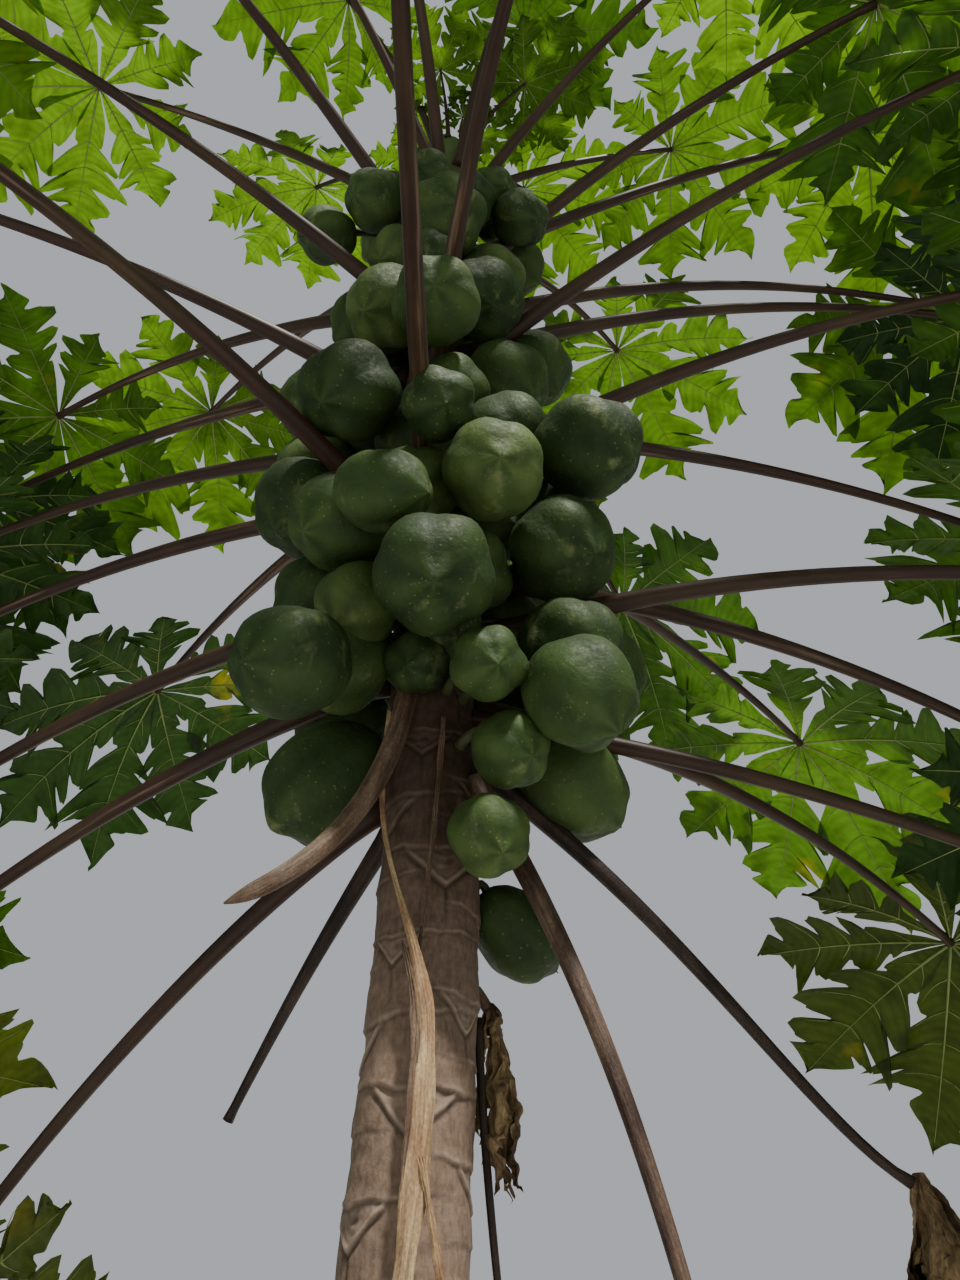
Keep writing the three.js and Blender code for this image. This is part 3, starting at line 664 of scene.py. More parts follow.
def blade_sheet(leaf, number):
    """One grid of shares and widths for each lobe, with extra rows at the notches, and its grain.

    The grain holds the share along the lobe, the share across and the leaf's own shade.
    """
    shares = [place + gap for place, _ in NOTCHES for gap in NOTCH_ROWS]
    shares = np.sort(np.concatenate([np.linspace(0, 1, BLADE_ROWS), shares]))
    share, wide = np.meshgrid(shares, np.linspace(-1, 1, BLADE_COLUMNS), indexing="ij")
    quads = sheet_faces(*share.shape)
    lobes = [blade_points(leaf, number, lobe, share, wide).reshape(-1, 3) for lobe in range(LOBES)]
    place = np.stack([share + number, np.abs(wide), 0 * wide + draw(64, number)], -1).reshape(-1, 3)
    return joined([(points, [quads]) for points in lobes]), np.tile(place, (LOBES, 1))


def blade_material(name, colour):
    """A leaf's sheet: part of the light is thrown back and part comes through, greener and stronger.

    Broad mottling, a shade for each leaf, wavy veins and a few yellowed patches change its colour.
    """
    material, shader = plant_material("blade_" + name, 0.50, 0.26)
    nodes, links = material.node_tree.nodes, material.node_tree.links
    darker = tuple(0.55 * c for c in colour)
    tone = mottled(material, darker, colour, 18, (1, 1, 1), 0.3, 0.6)
    place = nodes.new("ShaderNodeAttribute")
    place.attribute_name = "grain"
    parts = nodes.new("ShaderNodeSeparateXYZ")
    links.new(place.outputs["Vector"], parts.inputs[0])
    veins = nodes.new("ShaderNodeTexWave")
    veins.bands_direction = "X"
    for label, value in (("Scale", 7.0), ("Distortion", 1.2), ("Detail", 2.0), ("Detail Scale", 3.0)):
        veins.inputs[label].default_value = value
    links.new(place.outputs["Vector"], veins.inputs["Vector"])
    leaf_tone = colour_mix(material, parts.outputs["Z"], (0.62, 0.66, 0.7), (1.12, 1.08, 1.0))
    leaf_colour = colour_mix(material, 1.0, tone.outputs["Color"], leaf_tone, "MULTIPLY")
    vein_tone = colour_mix(material, veins.outputs["Fac"], (1.12, 1.10, 1.2), (0.90, 0.92, 0.90))
    leaf_colour = colour_mix(material, 1.0, leaf_colour, vein_tone, "MULTIPLY")
    aged = mottled(material, BLACK, (0.85, 0.85, 0.85), 4.2, (1, 1, 1), 0.64, 0.74)
    leaf_colour = colour_mix(material, aged.outputs["Color"], leaf_colour, BLADE_AGED)
    links.new(leaf_colour, shader.inputs["Base Color"])
    fine = mottled(material, darker, colour, 260)
    bumps(material, shader, [(veins.outputs["Fac"], 0.0010, 0.35), (fine.outputs["Height"], 0.0008, 0.4)])
    glow = nodes.new("ShaderNodeBsdfTranslucent")
    through = colour_mix(material, 1.0, leaf_colour, BLADE_THROUGH, "MULTIPLY")
    links.new(through, glow.inputs["Color"])
    both = nodes.new("ShaderNodeMixShader")
    both.inputs[0].default_value = 0.5
    links.new(shader.outputs[0], both.inputs[1])
    links.new(glow.outputs[0], both.inputs[2])
    links.new(both.outputs[0], nodes["Material Output"].inputs["Surface"])
    return material


def blade_tint(leaf, number):
    """The youngest leaves are the brightest, the oldest olive, and the rest are dealt by a draw between
    green and the deep tint, a painted shade.
    """
    if leaf.get("age", 0) > 0.45:
        return "bright" if draw(61, number) > 0.25 else "green"
    if leaf.get("age", 0) < 0.12 and draw(62, number) > 0.55:
        return "olive"
    return "green" if draw(63, number) > 0.45 else "deep"


for tint, colour in BLADE_TINTS.items():
    own = [n for n in living if blade_tint(leaves[n], n) == tint]
    sheets = [blade_sheet(leaves[n], n) for n in own]
    new_group("blades_" + tint, sheets, blade_material(tint, colour), "leaf", [leaf_nodes[n] for n in own])
sheets = [blade_sheet(*one) for one in young]
new_group("blades_young", sheets, bpy.data.materials["blade_bright"], "leaf", leaf_nodes[-1:])


# Ribs: pale raised ribs on the underside of each blade, which stiffen the sheet. One runs along the
# middle of every lobe and a side rib turns off it to each side lobe, between two notches.
RIB = (0.24, 0.31, 0.085)
RIB_THICK = 0.0030
SIDE_RIB_THICK = 0.0014
SIDE_RIBS = ((0.19, 0.28), (0.36, 0.40), (0.525, 0.565), (0.685, 0.72))


def blade_ribs(leaf, number):
    """A rib along each lobe's middle and one to each side lobe, three-sided and thinning to its end."""
    ribs = [(0.0, 0.97, 0.0, RIB_THICK)]
    for start, end in SIDE_RIBS:
        ribs += [(start, end, side, SIDE_RIB_THICK) for side in (0.88, -0.88)]
    up = blade_frame(leaf)[2]
    length = leaf.get("blade", BLADE_LENGTH)
    parts = []
    for lobe in range(LOBES):
        for start, end, wide, thick in ribs:
            run = np.linspace(0, 1, 6 if wide else 9)
            path = blade_points(leaf, number, lobe, start + (end - start) * run, wide * run) - 0.0004 * up
            parts.append(sweep(path, thick * length / BLADE_LENGTH * (1 - 0.8 * run), 3, facing=up + 0.01))
    return joined(parts)


rib_skin, rib_shader = plant_material("rib_skin", 0.45, 0.4)
rib_tone = mottled(rib_skin, tuple(0.7 * c for c in RIB), RIB, 30)
rib_skin.node_tree.links.new(rib_tone.outputs["Color"], rib_shader.inputs["Base Color"])
for name, own, nodes in (("leaf_ribs", grown, living_nodes), ("leaf_ribs_young", young, leaf_nodes[-1:])):
    new_piece(name, *joined([blade_ribs(*one) for one in own]), rib_skin, "leaf", nodes)


# Fruit: firm green papayas packed round the stem, each with five soft ridges that meet in a pointed
# tip, waxy skin, small specks and scuffs. They settle against each other and the stalks, as in the
# solids. A front fruit has its turn, height, reach, radius, length by radius, and lean aside.
FRUIT_COUNT = 60
LOWEST_FRUIT = 2.13
FRUIT_ZONE = 1.37
FRUIT_RADIUS = 0.072
COLUMN_REACH = 0.262
COLUMN_FULL = (2.3, 2.9)
FRUIT_ROWS = 34
FRUIT_SIDES = 50
SETTLE_ROUNDS = 160
FRUIT_SPECK = (0.16, 0.15, 0.06)
FRUIT_SCUFF = (0.22, 0.25, 0.11)
FRUIT_TINTS = {
    "deep": ((0.015, 0.032, 0.008), (0.034, 0.062, 0.016)),
    "green": ((0.023, 0.046, 0.011), (0.050, 0.086, 0.022)),
    "pale": ((0.036, 0.064, 0.015), (0.080, 0.122, 0.034)),
}
FRONT_FRUITS = [
    (115, 1.915, 0.122, 0.050, 1.4, 0), (35, 1.978, 0.132, 0.046, 1.1, 0), (97, 2.120, 0.178, 0.070, 1.4, 0),
    (40, 2.085, 0.158, 0.048, 1, 0), (-98, 2.112, 0.140, 0.078, 1.2, 0), (-55, 2.238, 0.142, 0.066, 1, 0),
    (22, 2.168, 0.198, 0.046, 1, 0), (62, 2.250, 0.212, 0.067, 1, 0), (2, 2.262, 0.240, 0.074, 1, 0),
    (-11, 2.378, 0.272, 0.054, 1.3, 75), (21, 2.446, 0.252, 0.067, 1, 0), (53, 2.556, 0.296, 0.074, 1, 0),
    (5, 2.546, 0.270, 0.051, 1, 0), (-26, 2.622, 0.246, 0.072, 1, 0), (4, 2.812, 0.250, 0.067, 1, 0),
    (-45, 3.304, 0.192, 0.058, 1, 0), (5, 3.172, 0.180, 0.070, 1, 0), (52, 3.270, 0.192, 0.053, 1, 0),
    (-8, 2.222, 0.104, 0.042, 1, 0), (-34, 2.296, 0.160, 0.056, 1, 0), (14, 2.268, 0.118, 0.044, 1, 0),
    (-2, 2.490, 0.160, 0.058, 1, 0),
]
DRY_STALK = dict(turn=-26, height=2.262, rise=-56, length=0.52, arch=-52, sway=-14)


def column_reach(z):
    """How far the fruits' middles stand out: full in the middle, less at the foot and the top."""
    low = np.maximum(0, (COLUMN_FULL[0] - z) / 0.4)
    high = np.maximum(0, (z - COLUMN_FULL[1]) / 0.85)
    return COLUMN_REACH * (1 - 0.9 * low ** 2 - 0.65 * high ** 2)


def round_stem(turn, height, reach):
    """A place by its turn, height and reach from the stem's middle."""
    turn = np.radians(turn)
    return np.stack([stem_x(height) + reach * np.sin(turn), -reach * np.cos(turn), height + 0 * turn], -1)


def settled_fruits():
    """Fruits start on the leaf spiral and are pushed apart, off the stalks and back to the column."""
    named = np.array(FRONT_FRUITS)
    number = np.arange(FRUIT_COUNT)
    share = (number + 0.5) / FRUIT_COUNT
    height = LOWEST_FRUIT + FRUIT_ZONE * share ** 0.92
    reach = column_reach(height) * (0.72 + 0.34 * draw(11, number))
    free_radius = (FRUIT_RADIUS - 0.020 * share ** 2) * (0.86 + 0.22 * draw(12, number))
    at = np.concatenate([
        round_stem(named[:, 0], named[:, 1], named[:, 2]),
        round_stem(40 + SPIRAL_TURN * number, height, reach),
    ])
    radius = np.concatenate([named[:, 3], free_radius])
    free = np.arange(len(at)) >= len(named)
    paths, thick = [], []
    for leaf in leaves:
        path = stalk_path(leaf, 40, 0)[:18]
        paths.append(path)
        thick.append(np.full(len(path), STALK_BASE * leaf.get("thick", 1)))
    dry = stalk_path(DRY_STALK, 8)
    blocks = np.concatenate([*paths, dry])
    block_radius = np.concatenate([*thick, np.full(len(dry), 0.020)])
    for _ in range(SETTLE_ROUNDS):
        between = at[None] - at[:, None]
        distance = np.linalg.norm(between, axis=-1) + np.eye(len(at))
        short = np.clip(radius[None] + radius[:, None] + 0.002 - distance, 0, None)
        np.fill_diagonal(short, 0)
        moves = -(between * (short / 2 / distance)[..., None]).sum(1)
        away = at[:, None] - blocks[None]
        distance = np.linalg.norm(away, axis=-1)
        short = np.clip(radius[:, None] + block_radius[None] + 0.001 - distance, 0, None)
        moves += (away * (short * 0.5 / distance)[..., None]).sum(1)
        at = at + 0.6 * moves * free[:, None]
        out = np.stack([at[:, 0] - stem_x(at[:, 2]), at[:, 1]], -1)
        reach = np.linalg.norm(out, axis=1)
        least = stem_radius(at[:, 2]) + radius + 0.003
        most = column_reach(at[:, 2]) * 1.06
        wanted = np.where(reach > most, reach - 0.3 * (reach - most), reach - 0.0005)
        wanted = np.maximum(wanted, least)
        at[:, :2] += out / reach[:, None] * ((wanted - reach) * free)[:, None]
    return at, radius


def fruit_axis(at, number):
    """A fruit's tip looks outwards and down, more or less by a draw. One named fruit lies sideways."""
    out = np.array([at[0] - stem_x(at[2]), at[1], 0.0])
    out /= np.linalg.norm(out)
    aside = math.radians(FRONT_FRUITS[number][5]) if number < len(FRONT_FRUITS) else 0
    if aside:
        x = out[0] * math.cos(aside) - out[1] * math.sin(aside)
        y = out[0] * math.sin(aside) + out[1] * math.cos(aside)
        return np.array([0.9 * x, 0.9 * y, -0.43])
    axis = out * (0.50 + 0.45 * draw(71, number)) - [0, 0, 0.55 + 0.4 * draw(72, number)]
    axis = axis + 0.4 * np.array([draw(73, number) - 0.5, draw(74, number) - 0.5, 0])
    return axis / np.linalg.norm(axis)


def fruit_skin(at, radius, number):
    """A round body and its ridge field: five lobes that grow to the tip, creases, a point and lumps.

    Long fruits are slimmer at the stalk end. The stalk end is dimpled.
    """
    round_it = np.linspace(0, 2 * np.pi, FRUIT_SIDES, False)
    polar, turn = np.meshgrid(np.linspace(0.02, np.pi - 0.02, FRUIT_ROWS), round_it, indexing="ij")
    axis = fruit_axis(at, number)
    side = np.cross(axis, [0.1, 0.2, 1.0])
    side /= np.linalg.norm(side)
    other = np.cross(axis, side)
    named = FRONT_FRUITS[number][4] if number < len(FRONT_FRUITS) else 1
    long = named if named > 1 else 1 + 0.13 * draw(75, number)
    late = polar / np.pi
    phase = 5 * turn + 6.28 * draw(77, number) + 0.5 * np.sin(2 * polar)
    lobes = np.cos(phase) + 0.25 * np.cos(turn * 2 + 6 * draw(79, number))
    valley = ((1 - np.cos(phase)) / 2) ** 5
    wide = np.sin(polar) ** 0.94 * (1 + 0.05 * np.sin(polar - 0.9))
    wide = wide * (1 + (0.012 + 0.022 * draw(76, number) + 0.044 * late ** 2.5) * lobes)
    wide = wide * (1 - (0.02 + 0.08 * late ** 3) * np.sin(polar) ** 0.5 * valley)
    wide = wide * (1 + 0.06 * np.cos(turn + 6 * draw(78, number)) * np.sin(polar))
    wide = wide * (1 - 0.035 * late ** 7 * np.abs(np.sin(1.4 * phase + 2 * np.sin(turn))))
    wide = wide * (1 + (long - 1) * 0.5 * (late - 0.62))
    along = -np.cos(polar) * (1 - 0.06 * hump(polar, 0.5))
    point = (0.05 + 0.08 * draw(70, number)) * hump(np.pi - polar, 0.17)
    along = along + point - 0.035 * hump(np.pi - polar - 0.40, 0.17)
    outward = np.cos(turn)[..., None] * side + np.sin(turn)[..., None] * other
    verts = at + radius * (long * along[..., None] * axis + wide[..., None] * outward)
    for height, waves, seed in ((0.0034, 50, 80), (0.0010, 190, 85)):
        verts = verts + height * ripples(verts, waves, seed)[..., None] * (verts - at) / radius
    tip = 1.055 + 0.08 * draw(70, number)
    ends = np.stack([at - radius * long * 0.90 * axis, at + radius * long * tip * axis])
    body = np.concatenate([verts.reshape(-1, 3), ends])
    ridge = 0.5 + 0.5 * np.cos(phase + 0.4 * np.sin(3 * polar + number)) * late ** 0.6
    return (body, tube_faces(FRUIT_ROWS, FRUIT_SIDES)), np.append(ridge.ravel(), [0.3, 1])


def fruit_material(name, dark, light):
    """Waxy green skin with broad mottling, fine bumps, pale scuffs and small brown specks, painted shade
    in the valleys between its ridges and painted highlight on them.
    """
    material, shader = plant_material("fruit_" + name, 0.65, 0.22)
    nodes, links = material.node_tree.nodes, material.node_tree.links
    tone = mottled(material, dark, light, 9, (1, 1, 1), 0.35, 0.7)
    scuff = mottled(material, BLACK, WHITE, 26, (1, 1, 0.5), 0.60, 0.72)
    place = nodes.new("ShaderNodeTexCoord")
    specks = nodes.new("ShaderNodeTexVoronoi")
    specks.inputs["Scale"].default_value = 95
    links.new(place.outputs["Object"], specks.inputs["Vector"])
    spot = nodes.new("ShaderNodeMapRange")
    links.new(specks.outputs["Distance"], spot.inputs["Value"])
    for label, value in (("From Min", 0.10), ("From Max", 0.16), ("To Min", 0.55), ("To Max", 0.0)):
        spot.inputs[label].default_value = value
    colour = colour_mix(material, spot.outputs["Result"], tone.outputs["Color"], FRUIT_SPECK)
    worn = colour_mix(material, 0.35, colour, FRUIT_SCUFF)
    colour = colour_mix(material, scuff.outputs["Color"], colour, worn)
    # Painted shade and highlight: darker in the valleys between the ridges and lighter on the ridges, most
    # towards the tip.
    ridge_painted_light = colour_mix(material, field(material, "ridge"), (0.72, 0.76, 0.78), (1.25, 1.20, 1.12))
    colour = colour_mix(material, 1.0, colour, ridge_painted_light, "MULTIPLY")
    links.new(colour, shader.inputs["Base Color"])
    fine = mottled(material, (0.52, 0.52, 0.52), (0.76, 0.76, 0.76), 120)
    links.new(fine.outputs["Color"], shader.inputs["Roughness"])
    bumps(material, shader, [(tone.outputs["Height"], 0.008, 0.5), (fine.outputs["Height"], 0.0024, 0.6)])
    return material


fruit_at, fruit_radius = settled_fruits()
fruit_nodes = [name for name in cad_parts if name.startswith("fruit_")]
fruits = list(zip(fruit_at, fruit_radius, range(len(fruit_at))))
for k, (tint, (dark, light)) in enumerate(FRUIT_TINTS.items()):
    own = [one for one in fruits if int(draw(81, one[2]) > 0.42) + int(draw(81, one[2]) > 0.84) == k]
    skins = [fruit_skin(*one) for one in own]
    new_group(f"fruit_{tint}_skin", skins, fruit_material(tint, dark, light), "fruit", fruit_nodes, "ridge")


# Fruit stalks: short stout green-brown pegs, a little arched, that grow out of the stem and carry each
# fruit at the dimple of its upper end.
PEG_DARK = (0.035, 0.045, 0.016)
PEG_LIGHT = (0.085, 0.095, 0.035)


def fruit_stalk(at, radius, number):
    """A line from the stem to the fruit's dimple, raised by a sine and thinner in the middle."""
    axis = fruit_axis(at, number)
    top = at - radius * 0.86 * axis
    turn = math.atan2(at[0] - stem_x(at[2]), -at[1])
    height = min(top[2] + 0.02, STEM_TOP - 0.1)
    foot = round_stem(math.degrees(turn), height, stem_radius(height) * 0.95)
    run = np.linspace(0, 1, 8)[:, None]
    path = foot * (1 - run) + top * run + np.array([0, 0, 0.02]) * np.sin(np.pi * run)
    return sweep(path, 0.0055 + 0.003 * (1 - np.sin(np.pi * run[:, 0])), 8)


peg_skin, peg_shader = plant_material("fruit_stalk_skin", 0.6, 0.4)
peg_tone = mottled(peg_skin, PEG_DARK, PEG_LIGHT, 40)
peg_skin.node_tree.links.new(peg_tone.outputs["Color"], peg_shader.inputs["Base Color"])
bumps(peg_skin, peg_shader, [(peg_tone.outputs["Height"], 0.002, 0.5)])
new_piece("fruit_stalks", *joined([fruit_stalk(*one) for one in fruits]), peg_skin, "fruit", fruit_nodes)


# Old and dry stalks: the lowest leaf stalks, gone grey-brown or nearly black, and the flattened, ribbed
# stalk that curves down left of the stem. They have died on the tree, are brittle, fibrous and matt,
# and stay fixed to the stem by their swollen feet.
DRY_BROWN = (0.115, 0.070, 0.045)
DRY_GREY = (0.185, 0.138, 0.105)
OLD_BROWN = (0.045, 0.026, 0.022)
OLD_GREY = (0.130, 0.088, 0.064)
DEAD_BLACK = (0.018, 0.011, 0.009)
DEAD_BROWN = (0.050, 0.033, 0.026)
STUB_STEPS = 40
STUB_SIDES = 20


def fibre_material(name, first, second, roughness=0.8, ways=(1, 1, 0.05)):
    """Dried plant tissue: two colours under long streaks and fine flecks that follow the grain.

    Streaks and flecks also raise the surface. The ways stretch the streaks round and along the grain.
    """
    material, shader = plant_material(name, roughness, 0.25)
    tone = mottled(material, first, second, 30, (1, 1, 0.3), 0.35, 0.65)
    streak = mottled(material, (0.42, 0.38, 0.36), (1.35, 1.3, 1.25), 210, ways, 0.35, 0.65, True)
    colour = colour_mix(material, 0.8, tone.outputs["Color"], streak.outputs["Color"], "MULTIPLY")
    fleck = mottled(material, (0.72, 0.70, 0.68), (1.45, 1.42, 1.38), 420, (1, 1, 0.5), 0.40, 0.68, True)
    colour = colour_mix(material, 0.7, colour, fleck.outputs["Color"], "MULTIPLY")
    material.node_tree.links.new(colour, shader.inputs["Base Color"])
    bumps(material, shader, [(streak.outputs["Height"], 0.0025, 0.8), (fleck.outputs["Height"], 0.0010, 0.6)])
    return material


dry_skin = fibre_material("dry_stalk_skin", DRY_BROWN, DRY_GREY, 0.62, (1, 1, 0.06))
old_skin = fibre_material("old_stalk_skin", OLD_BROWN, OLD_GREY, 0.5)
dark_skin = fibre_material("dark_stalk_skin", DEAD_BLACK, DEAD_BROWN, 0.5)
for name, own, skin in (("old_stalks", dead[:1], old_skin), ("old_stalks_dark", dead[1:], dark_skin)):
    new_group(name, [stalk(leaves[n], n) for n in own], skin, "dry", [leaf_nodes[n] for n in own])

stub_path = stalk_path(DRY_STALK, STUB_STEPS)
stub_run = np.linspace(0, 1, len(stub_path))
stub_turn = 2 * np.pi * (np.arange(STUB_SIDES) + 0.5) / STUB_SIDES
stub_width = 0.0175 - 0.0105 * stub_run ** 2 - 0.006 * ramp(stub_run, 0.9, 0.1) ** 2
stub_twist = 0.16 * np.cos(stub_turn * 2 + 5 * stub_run[:, None]) * stub_run[:, None]
stub_ribs = 1 + 0.05 * np.cos(6 * stub_turn)[None] + stub_twist
stub = rod(stub_path, stub_width[:, None] * stub_ribs, STUB_SIDES, 0.7)
new_group("dry_stalk_skin", [stub], dry_skin, "dry", ["dry_stalk"])


# The dry strip: a band of fibre that has peeled off an old stalk and hangs down the front of the stem,
# straw where the light has bleached it. It has split into a broad ribbon and a thin strand. A narrow
# brown strand lies beside it, and a narrow dark strip to its right is a painted shadow of the strip on
# the stem.
STRAW = (0.56, 0.44, 0.27)
STRAW_RED = (0.27, 0.150, 0.085)
STRIP_TOP = 2.19
STRIP_LENGTH = 0.9
STRIP_THICK = 0.0016
STRIP_ROWS = 120
STRAND_ROWS = 50
# Rows of the painted shadow strip.
PAINTED_SHADOW_ROWS = 60


def eased(value, start, over):
    """The ramp with soft ends: three times its square less twice its cube."""
    share = ramp(value, start, over)
    return share ** 2 * (3 - 2 * share)


def strip_path(share, spread=0.0):
    """The strip's line: it starts left of the stem, swings over to its front and hangs a finger clear."""
    turn = -54 + 62 * eased(share, 0.08, 0.42) - 5 * eased(share, 0.55, 0.25) + spread
    z = STRIP_TOP - STRIP_LENGTH * share
    reach = stem_radius(z) + 0.014 + 0.016 * np.sin(np.pi * share) + 0.010 * share
    return round_stem(turn, z, reach)


def strip_ribbon(path, half, curl, seed):
    """A ribbon along a path, and its grain: its edges curl towards the stem and its width is uneven."""
    run = np.linspace(0, 1, len(path))
    side = np.linspace(-1, 1, 11)
    out = path * [1, 1, 0]
    out /= np.linalg.norm(out, axis=1)[:, None]
    level = np.cross([0, 0, 1.0], out)
    width = half * (1 + 0.16 * np.sin(23 * run + seed) + 0.1 * np.sin(61 * run + 2 * seed))
    bend = -curl * side[None] ** 2 + 0.0012 * np.sin(9 * side[None] + 14 * run[:, None] + seed)
    front = path[:, None] + (width[:, None] * side[None])[..., None] * level[:, None]
    front = front + bend[..., None] * out[:, None]
    back = front - STRIP_THICK * out[:, None]
    ring = np.concatenate([front, back[:, ::-1]], 1)
    verts = np.concatenate([ring.reshape(-1, 3), path[:1], path[-1:]])
    over = np.concatenate([side, side[::-1]])[None] * width[:, None]
    places = np.stack([over, 0 * over + 0.01 * seed, path[:, None, 2] + 0 * over], -1).reshape(-1, 3)
    faces = tube_faces(len(path), ring.shape[1])
    return (verts, faces), np.concatenate([places, places[:1], places[-1:]])


straw_skin = fibre_material("straw", STRAW_RED, STRAW)
run = np.linspace(0, 1, STRIP_ROWS)
half = 0.003 + 0.0085 * eased(run, 0.3, 0.2) * (1 - 0.7 * ramp(run, 0.7, 0.3))
main_strand = strip_ribbon(strip_path(run), half, 0.004, 0.0)
late = np.linspace(0.61, 0.95, STRAND_ROWS)
thin_line = strip_path(late, 170 * (late - 0.6)) + [0, -0.002, 0]
thin_strand = strip_ribbon(thin_line, np.full(STRAND_ROWS, 0.0038), 0.0016, 2.0)
# A painted shadow: a narrow dark strip where the strip's shadow falls on the stem, to its right.
early = np.linspace(0, 1, PAINTED_SHADOW_ROWS)
painted_shadow_line = round_stem(14 - 18 * early, 2.16 - 0.34 * early, stem_radius(2.0) + 0.012 + 0.01 * early)
painted_shadow_strand = strip_ribbon(painted_shadow_line, 0.0036 - 0.001 * early, 0.001, 4.0)
beside_run = np.linspace(0.37, 0.64, STRAND_ROWS)
brown_half = 0.0045 * np.sin(np.pi * np.linspace(0, 1, STRAND_ROWS)) ** 0.5 + 0.0008
brown_strand = strip_ribbon(strip_path(beside_run, -7) + [0, 0.002, 0], brown_half, 0.001, 6.0)
# The second piece holds the brown strand and the painted shadow strip.
for name, skin, strands in (("dry_strip_straw", straw_skin, (main_strand, thin_strand)),
                            ("dry_strip_brown_and_shadow", dry_skin, (painted_shadow_strand, brown_strand))):
    new_group(name, strands, skin, "dry", ["dry_strip"])


# Withered leaves: dead blades that hang from their stalks like folded umbrellas, crumpled, torn and dull
# brown. Two end the old stalks. A small one hangs on a short stalk at the stem's right edge, with a
# shorter shred above it and a thin dark stalk beside it.
WITHERED_DARK = (0.042, 0.024, 0.014)
WITHERED_PALE = (0.31, 0.222, 0.118)
WITHERED_LENGTH = 0.365
WITHERED_WIDTH = 0.070
WITHERED_ROWS = 56
WITHERED_COLUMNS = 17
BESIDE_STALK = dict(turn=112, height=1.835, rise=-60, length=0.06, arch=30)
HANGING_STALK = dict(turn=99, height=1.80, rise=-83, length=0.50, arch=-8, sway=6)
THIN_SIDES = 10


def shaken(points, waves, seed):
    """Three uneven fields side by side, one for each axis."""
    return np.stack([ripples(points, waves, seed + 4 * k) for k in range(3)], -1)


def withered_leaf(hub, length, width, seed, crumple=1.0):
    """Nine crumpled lobes and their grain, each folded along its rib, that hang down from the hub.

    A lobe swells with a sine of its share, its edges are notched and torn, and its end curls aside.
    Coarse and fine ripples, and then very fine ones, move its points more and more towards its end.
    """
    parts, places = [], []
    rows, columns = np.linspace(0, 1, WITHERED_ROWS), np.linspace(-1, 1, WITHERED_COLUMNS)
    share, wide = np.meshgrid(rows, columns, indexing="ij")
    quads = sheet_faces(*share.shape)
    for lobe in range(LOBES):
        way = 2 * np.pi * lobe / LOBES + 0.8 * draw(seed, lobe)
        drop = length * (0.55 + 0.45 * draw(seed + 1, lobe))
        reach = 0.004 + width * (0.20 + 0.75 * draw(seed + 2, lobe)) * np.sin(1.9 * share ** 0.9)
        wave = 8.5 * share + 0.6 * np.sign(wide) + 3 * draw(seed + 3, lobe)
        torn = np.abs(np.sin(3.7 * wave + 2 * np.sin(2.3 * wave))) ** 1.6
        notch = (0.50 + 0.50 * np.abs(np.sin(wave)) ** 0.7) * (1 - 0.42 * torn * share ** 0.4)
        half = width * 0.85 * np.sin(np.pi * (share * 0.98 + 0.02)) ** 0.7 * notch
        spin = way + 1.6 * share ** 1.5 * (draw(seed + 4, lobe) - 0.5)
        fold = math.radians(42 + 34 * draw(seed + 17, lobe)) + 0.5 * np.sin(7 * share + lobe)
        out = np.stack([np.cos(spin), np.sin(spin), 0 * spin], -1)
        level = np.stack([-np.sin(spin), np.cos(spin), 0 * spin], -1)
        points = hub + (reach - half * np.abs(wide) * np.sin(fold) * 0.8)[..., None] * out
        points = points + (half * wide * np.cos(fold))[..., None] * level
        points[..., 2] -= drop * share + 0.25 * half * np.abs(wide) * share
        fine = shaken(points, 170, seed + 5)
        coarse = shaken(points, 55, seed + 6)
        points = points + crumple * share[..., None] ** 0.5 * (0.17 * width * fine + 0.36 * width * coarse)
        rough = shaken(points, 420, seed + 7)
        points = points + 0.08 * crumple * width * share[..., None] ** 0.5 * rough
        parts.append((points.reshape(-1, 3), [quads]))
        places.append(np.stack([half * wide, 0 * share + lobe, drop * share], -1).reshape(-1, 3))
    return joined(parts), np.concatenate(places)


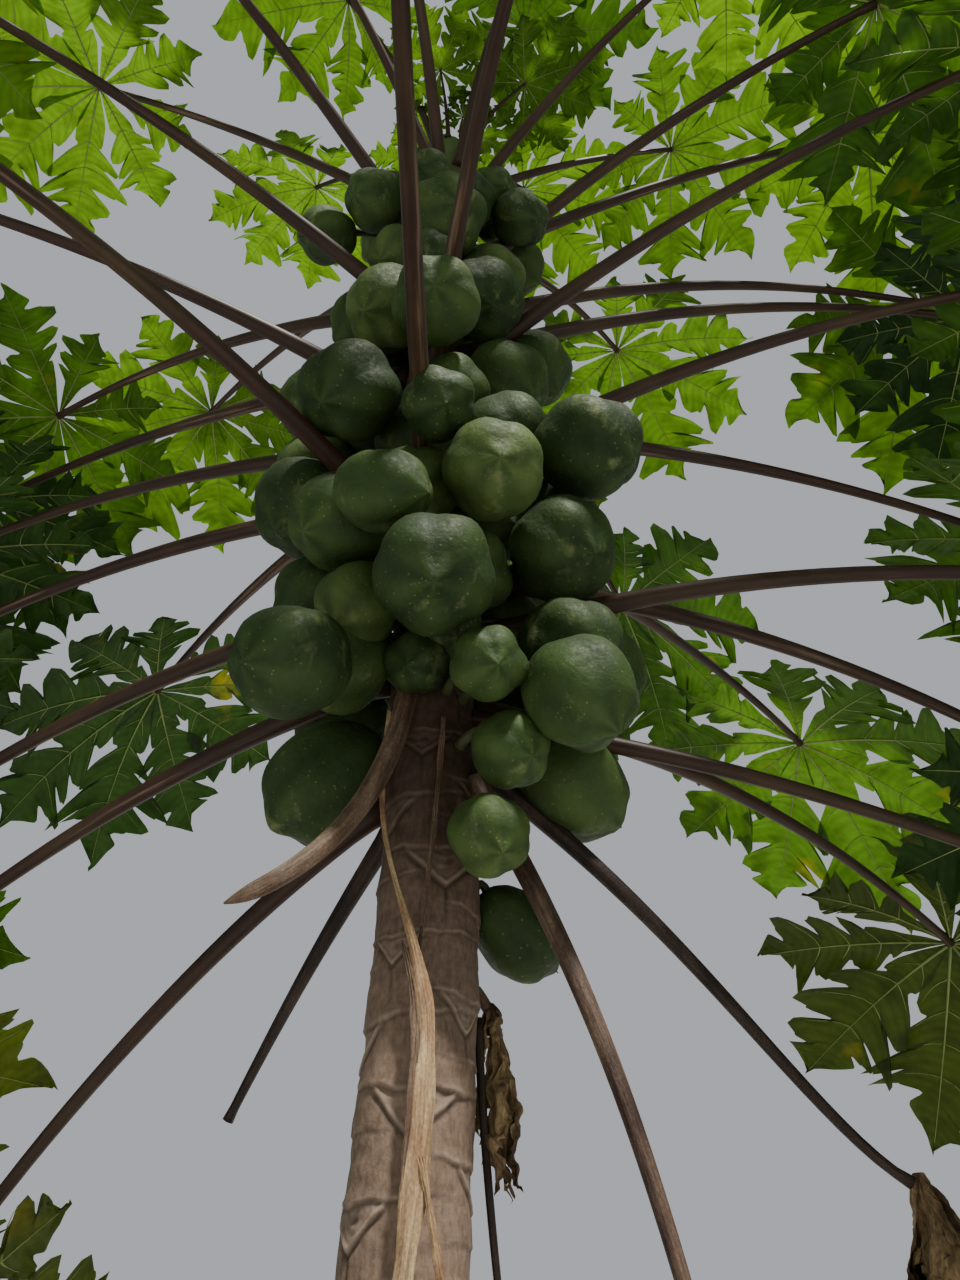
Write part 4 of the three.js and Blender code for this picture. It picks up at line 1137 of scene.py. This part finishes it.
withered_skin = fibre_material("withered", WITHERED_DARK, WITHERED_PALE, 0.85, (1, 1, 0.35))
beside_path = stalk_path(BESIDE_STALK, 24)
beside_stalk = rod(beside_path, 0.008 - 0.003 * np.linspace(0, 1, len(beside_path)), THIN_SIDES)
new_group("withered_stalk", [beside_stalk], dry_skin, "dry", ["withered_leaf"])
shreds = [
    withered_leaf(beside_path[-1] + [0, 0, 0.01], length=0.205, width=0.027, seed=101, crumple=1.7),
    withered_leaf(beside_path[9] + [0.004, 0, 0.004], length=0.075, width=0.014, seed=141, crumple=1.9),
]
new_group("withered_lobes_stem", shreds, withered_skin, "dry", ["withered_leaf"])
hanging_path = stalk_path(HANGING_STALK, 30)
hanging = rod(hanging_path, 0.0052 - 0.0022 * np.linspace(0, 1, len(hanging_path)), THIN_SIDES)
new_group("hanging_stalk", [hanging], dark_skin, "dry", ["withered_leaf"])
ends = [n for n in dead if leaves[n]["end"] == "withered"]
lobes = [
    withered_leaf(leaves[n]["hub"] + [0.01, 0, 0.01], WITHERED_LENGTH, WITHERED_WIDTH, 121 + 20 * n)
    for n in ends
]
new_group("withered_lobes", lobes, withered_skin, "dry", [leaf_nodes[n] for n in ends])


# Floor and light: a plain pale floor, a soft pale surround, and one high warm key light from the front
# and right, with soft shadows.
FLOOR_REACH = 14
floor_mesh = bpy.data.meshes.new("floor")
floor_corners = [(x * FLOOR_REACH, y * FLOOR_REACH, 0) for x, y in ((-1, -1), (1, -1), (1, 1), (-1, 1))]
floor_mesh.from_pydata(floor_corners, [], [(0, 1, 2, 3)])
floor = bpy.data.objects.new("floor", floor_mesh)
floor_material, floor_shader = plant_material("floor", 0.9, 0.2)
floor_shader.inputs["Base Color"].default_value = (0.50, 0.50, 0.48, 1)
floor_mesh.materials.append(floor_material)
bpy.context.scene.collection.objects.link(floor)

world = bpy.data.worlds.new("surround")
world.use_nodes = True
surround = world.node_tree.nodes["Background"]
surround.inputs["Color"].default_value = (0.90, 0.94, 1.0, 1)
surround.inputs["Strength"].default_value = 0.50
bpy.context.scene.world = world

key = bpy.data.objects.new("key", bpy.data.lights.new("key", "SUN"))
key.data.energy = 6.0
key.data.angle = math.radians(5)
key.data.color = (1.0, 0.96, 0.88)
key.rotation_euler = (math.radians(24), math.radians(14), 0)
bpy.context.scene.collection.objects.link(key)
